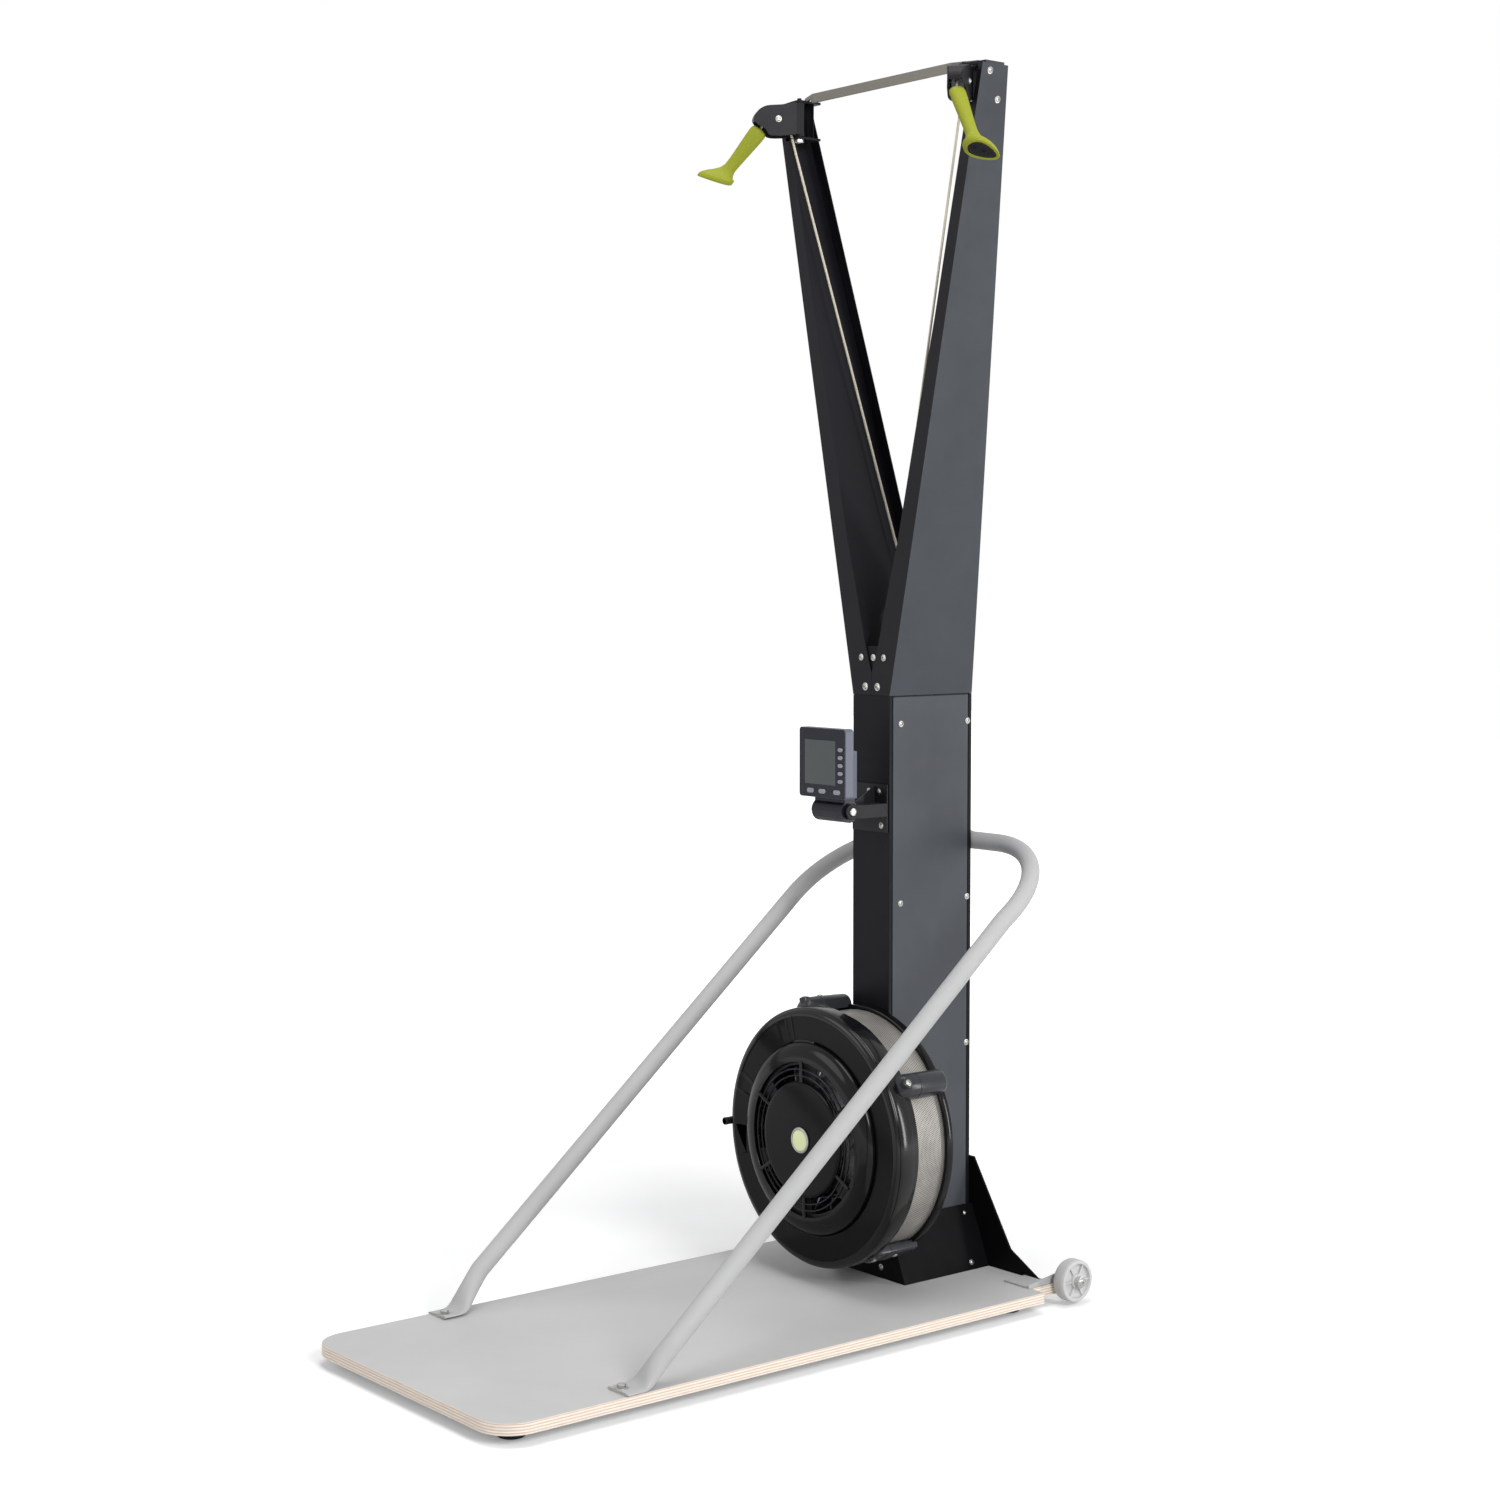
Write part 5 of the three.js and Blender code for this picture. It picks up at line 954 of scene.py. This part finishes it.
def pulley_heads():
    shares = [
        (0, -0.87), (0.22, -0.95), (0.44, -1), (0.59, -1), (0.69, -0.93), (0.75, -0.7), (0.81, -0.52), (0.92, -0.37),
        (1, -0.07), (0.985, 0.2), (0.93, 0.45), (0.84, 0.66), (0.7, 0.8), (0.41, 0.87), (0.09, 1),
    ]
    reach, half = 85, 30
    run = spline([(0, -a * reach, b * half) for a, b in shares], 6)
    smooth = [(p.y, p.z) for p in run] + [(0, half)]
    inner = [(PULLEY_Y + (y - PULLEY_Y) * 0.94, z * 0.92) for y, z in smooth]
    top = [i for i, (y, z) in enumerate(smooth) if z > -4 and y < -6]
    cheek = [(y, z) for y, z in smooth if y < -8] + [(-8, half), (-8, -26.5)]
    neck = arc((0, 0), 9, radians(20), radians(160), 10)
    collar = [(17, -9), (16.6, -6.4), (13, -2)] + [(u, v) for u, v in neck if v < 8]
    collar += [(-13, -2), (-16.6, -6.4), (-17, -9)]
    barrel = [
        (4.4, -28.5), (8.2, -28.5), (9.2, -27.6), (9.2, -22), (8.7, -21.4), (8.7, 24), (9.2, 24.6), (9.2, 30.6),
        (8.4, 31.5), (4.4, 31.5),
    ]
    wheel = [
        (4.4, -11), (10, -11), (10.6, -10), (17.4, -10), (18.4, -11), (19.4, -10.8), (20, -10), (19.8, -8.4),
        (17.6, -5), (16.4, -2.2), (16, 0),
    ]
    for side, sign in SIDES:
        body, housing = f"head_{side}", (f"pulley_housing_{side}",)
        place = head_frame(sign)
        work = bmesh.new()
        for near, far in ((14.6, 17), (-17, -14.6)):
            prism(work, "x", cheek, near, far)
        rings = []
        for x in (-14.8, 14.8):
            rings.append([Vector((x, *smooth[i])) for i in top] + [Vector((x, *inner[i])) for i in reversed(top)])
        skin(work, rings)
        prism(work, "z", collar, -26, 29.6)
        for vertex in work.verts:
            past = max(0.0, (-vertex.co.y - 60) / 25)
            vertex.co.x *= 1 - 0.26 * past * past
        finish_mesh(f"head_cheeks_{side}", work, "black", body, crease=32, bevel=0.7, replaces=housing, place=place)
        turned(f"head_barrel_{side}", "z", barrel, (0, 0, 0), "black", 48, body=body, replaces=housing, place=place)
        work = bmesh.new()
        for x in (-1, 1):
            dome_screw(work, (x * 17, PULLEY_Y, 0), (x, 0, 0), 4.4, 2.8)
        lathe(work, "x", [(0, -15), (4, -15), (4, 15), (0, 15)], (0, PULLEY_Y, 0), count=24, closed=False)
        finish_mesh(f"head_bolt_{side}", work, "zinc", body, replaces=housing, place=place)
        turned(
            f"grooved_wheel_{side}", "x", mirrored_profile(wheel), (0, PULLEY_Y, 0), "grey", 56,
            body=f"top_wheel_{side}", replaces=(f"top_pulley_{side}",), place=place,
        )


def handle_ring(z, half, front, back, slant, count=48):
    ring = []
    for k in range(count):
        a = TURN * k / count
        u, v = cos(a), sin(a)
        y = -v * (front if v > 0 else back)
        ring.append(Vector((u * half * (1 - 0.25 * max(0, v) ** 2), y, z + y * tan(slant))))
    return ring


def handles():
    # Share of the handle's length, half width, front and back reach, and share of the foot's slant.
    rows = [
        (0.0, 5.6, 8.2, 8.2, 0), (0.012, 8.2, 12.0, 12.0, 0), (0.035, 10.3, 15.0, 15.0, 0),
        (0.075, 11.0, 16.0, 16.0, 0), (0.2, 10.9, 15.4, 15.4, 0), (0.45, 10.3, 13.2, 13.2, 0),
        (0.62, 9.9, 11.8, 11.8, 0), (0.74, 10.1, 12.0, 11.2, 0.04), (0.81, 11.4, 15.5, 13.2, 0.16),
        (0.86, 14.0, 22.0, 16.2, 0.4), (0.89, 18.0, 31.0, 18.8, 0.75), (0.915, 21.0, 37.6, 20.2, 0.95),
        (0.93, 21.8, 39.4, 20.8, 1), (0.95, 22.0, 40.0, 21.0, 1), (0.985, 22.0, 40.0, 21.0, 1),
        (1.0, 20.8, 38.8, 19.8, 1),
    ]
    # Height above the foot, half width, front and back reach: the hollow in the foot, and its plug.
    hollow = ((0, 16.6, 34.6, 15.6), (0.8, 16.1, 34.1, 15.1), (3.6, 15.9, 33.9, 14.9))
    plug = (
        (3.0, 15.7, 33.7, 14.7), (0.8, 15.6, 33.6, 14.6), (0.1, 14.8, 32.8, 13.8), (0.1, 12.6, 30.2, 11.6),
        (0.8, 12.0, 29.6, 11.0), (0.8, 4.0, 9.0, 4.0),
    )
    tilt = radians(22)
    foot_z = -HANDLE_LENGTH
    for side, sign in SIDES:
        place = handle_frame(side, sign)
        rings = [handle_ring(share * foot_z, *sizes, tilt * slant) for share, *sizes, slant in rows]
        rings += [handle_ring(foot_z + up, *sizes, tilt) for up, *sizes in hollow]
        work = bmesh.new()
        skin(work, rings)
        name, old = f"moulded_grip_{side}", (f"handle_{side}",)
        finish_mesh(name, work, "lime", f"grip_{side}", crease=45, replaces=old, place=place)
        work = bmesh.new()
        skin(work, [handle_ring(foot_z + up, *sizes, tilt) for up, *sizes in plug])
        for y, radius in ((-12, 5.2), (4, 4.2)):
            level = foot_z + y * tan(tilt)
            button = ((1.0, 1), (0.1, 1), (0.1, 0.6), (0.8, 0.55))
            raised = [handle_ring(level + up, *[radius * share] * 3, 0, 24) for up, share in button]
            for ring in raised:
                for point in ring:
                    point.y += y
                    point.z += (point.y - y) * tan(tilt)
            skin(work, raised)
        name, old = f"foot_plug_{side}", (f"handle_plug_{side}",)
        finish_mesh(name, work, "black", f"grip_{side}", crease=40, replaces=old, place=place)


def cord_piece(name, path, radius=CORD_RADIUS, body="frame", **rest):
    work = bmesh.new()
    sweep(work, path, radius)
    return finish_mesh(name, work, "cord", body, **rest)


def cords():
    """Each side: the cord over the head's pulley, its end to the handle, and the drive cord to the spool."""
    for side, sign in SIDES:
        head = head_frame(sign)
        start = head.inverted() @ Vector((*CORD_TOP[side], 2049.2))
        wrap = 18.5
        leave = atan2(-HANDLE_SEAT.y + PULLEY_Y, wrap - HANDLE_SEAT.z)
        over = [Vector((0, PULLEY_Y + y, z)) for y, z in arc((0, 0), wrap, 0, pi - leave, 28)]
        rise = spline([start, start.lerp(over[0], 0.5), over[0]], 4)
        old = (f"pull_cord_{side}",)
        name = f"braided_cord_top_{side}"
        cord_piece(name, rise[:-1] + over, body=f"head_{side}", replaces=old, place=head)
        seat = HANDLE_SEAT
        last = over[-1]
        inside = head.inverted() @ handle_frame(side, sign) @ Vector((0, 0, -3))
        path = [last.lerp(seat, i / 4) for i in range(5)] + [inside]
        tail = cord_piece(f"braided_cord_end_{side}", path, CORD_RADIUS - 0.05, None, replaces=old, place=head)
        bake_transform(tail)
        y = CORD_Y[side]
        reach = 19 + CORD_RADIUS + 0.5
        top = Vector((*CORD_TOP[side], 2047))
        centre_x = sign * GUIDE_X
        lean = atan2(abs(top.x - centre_x), top.z - GUIDE_Z)
        turns = arc((0, 0), reach, lean * 0.9, 0, 12)
        bend = [Vector((centre_x - sign * u, y, GUIDE_Z + v)) for u, v in turns]
        foot = Vector((-sign * 22.3, y, SHAFT[2]))
        path = [top.lerp(bend[0], i / 12) for i in range(12)] + bend
        path += [bend[-1].lerp(foot, i / 8) for i in range(1, 9)]
        cord_piece(f"braided_cord_{side}", path, replaces=(f"drive_cord_{side}",))


def guide_wheels():
    rim = [
        (5.6, -6), (11, -6), (11.6, -5.2), (19.6, -5.2), (20.2, -6), (22.2, -6), (23, -5.2), (22.7, -4), (20.2, -2.2),
        (19.2, 0),
    ]
    for side, sign in SIDES:
        turned(
            f"guide_wheel_{side}", "y", mirrored_profile(rim), (sign * GUIDE_X, CORD_Y[side], GUIDE_Z), "grey", 72,
            body=f"guide_{side}", replaces=(f"guide_pulley_{side}",),
        )


# -------- screws and other small parts
def screws():
    column_half, column_top, arm_spread, arm_rise = 48.4, 1045, 268.5 - 48.4, 1068
    front, sides_of = bmesh.new(), bmesh.new()
    for sign in (-1, 1):
        for z in (995, 675, 407):
            for y in (28, 190.5):
                dome_screw(sides_of, (sign * column_half, y, z), (sign, 0, 0), 4.2, 2.4)
        for x, y, z in ((57.2, 25, 94), (57.2, 180, 94), (92.7, 165, 12.5)):
            dome_screw(sides_of, (sign * x, y, z), (sign, 0, 0.44), 4.0, 2.4)
        for y, z in ((26.5, 2101), (52.8, 2057)):
            x = column_half + arm_spread * (z - column_top) / arm_rise
            dome_screw(sides_of, (sign * x, y, z), (sign, 0, -0.2), 4.6, 2.6)
        dome_screw(front, (sign * 34, -3.3, 20), (0, -1, 0), 4.2, 2.4)
        dome_screw(front, (sign * 57.6, 206.9, 173), (0, -1, 0), 4.0, 2.4)
        dome_screw(front, (sign * 57.6, 207.4, 173), (0, 1, 0), 4.2, 2.4)
        dome_screw(front, (sign * 16, 0.0, GUIDE_Z), (0, -1, 0), 5.2, 3.0)
    for x in (-27.5, 4.7, 32):
        dome_screw(front, (x, 0.35, 1112), (0, -1, 0), 4.4, 2.5)
    finish_mesh("front_screws", front, "zinc")
    finish_mesh("side_screws", sides_of, "zinc")


def head_bracket_trim():
    """Nut on each head's pin, and the bracket's rear wall between the pin and the arm's web."""
    nut = [(4.2, 2040.9), (7.4, 2040.9), (8.5, 2041.6), (8.5, 2047.2), (8.2, 2047.9), (4.2, 2047.9)]
    wall = ((208, 2052), (253.5, 2052), (265, 2112.6), (208, 2112.6))
    for side, sign in SIDES:
        centre = (sign * HEAD_PIN[0], HEAD_PIN[1], 0)
        turned(f"pin_nut_{side}", "z", nut, centre, "zinc", 6, bevel=0.3)
        work = bmesh.new()
        prism(work, "y", [(sign * u, z) for u, z in wall], 40, 42)
        finish_mesh(f"bracket_wall_{side}", work, "dark_steel", bevel=0.5)


def tilt_bolt():
    """Ends of the monitor's tilt bolt, each in a round washer, and the screws of the bracket's plate."""
    axis = (0, -85, 845)
    ring = [(7.9, 45.6), (13.2, 45.6), (14, 46.2), (14, 47.2), (13.2, 47.9), (8.6, 47.6), (7.9, 46.8)]
    head = [(0, 50.6), (2.6, 50.6), (3.0, 50.2), (6.2, 50.2), (7.4, 49.6), (7.9, 48.4), (7.9, 46), (0, 46)]
    for side, sign in SIDES:
        washer, bolt = [[(r, sign * x) for r, x in profile] for profile in (ring, head)]
        turned(f"tilt_washer_{side}", "x", washer, axis, "black", 40)
        turned(f"tilt_bolt_head_{side}", "x", bolt, axis, "zinc", 40, False)
    work = bmesh.new()
    for x, z in ((-2, 874.5), (25, 875), (31, 815)):
        dome_screw(work, (x, -3.3, z), (0, -1, 0), 4.0, 2.2)
    finish_mesh("bracket_screws", work, "zinc")


for build in (
    deck, deck_feet, stand_tube, wheels, cage_disc, grille, cage_band, cage_face, damper_slot, damper_knob, cage_lugs,
    cage_screen_and_rear, hub, pulley_heads, handles, cords, guide_wheels, screws, head_bracket_trim, tilt_bolt,
):
    build()

KEPT = {
    "pale_steel": "tube_saddle wheel_bracket_left wheel_bracket_right",
    "dark_steel": "column_front column_rear pulley_carrier",
    "foot_steel": "base_shoe rear_gusset",
    "panel": "side_panel_left side_panel_right",
    "arm": "arm_left arm_right",
    "strip": "crossbar",
    "zinc": "shaft_bearing_front shaft_bearing_rear",
    "bright": "drive_shaft flywheel",
    "black": "monitor_bracket damper_ring",
    "grey": "cord_spool_left cord_spool_right",
    "elastic": "return_cord_left return_cord_right",
    "case": "monitor_housing",
    "case_side": "monitor_back",
    "display": "monitor_screen",
}
for paint, names in KEPT.items():
    for name in names.split():
        keep(name, paint)
for row, count in (("side", 5), ("base", 3)):
    for i in range(1, count + 1):
        keep(f"key_{row}_{i}", "key", 0.5, 3)
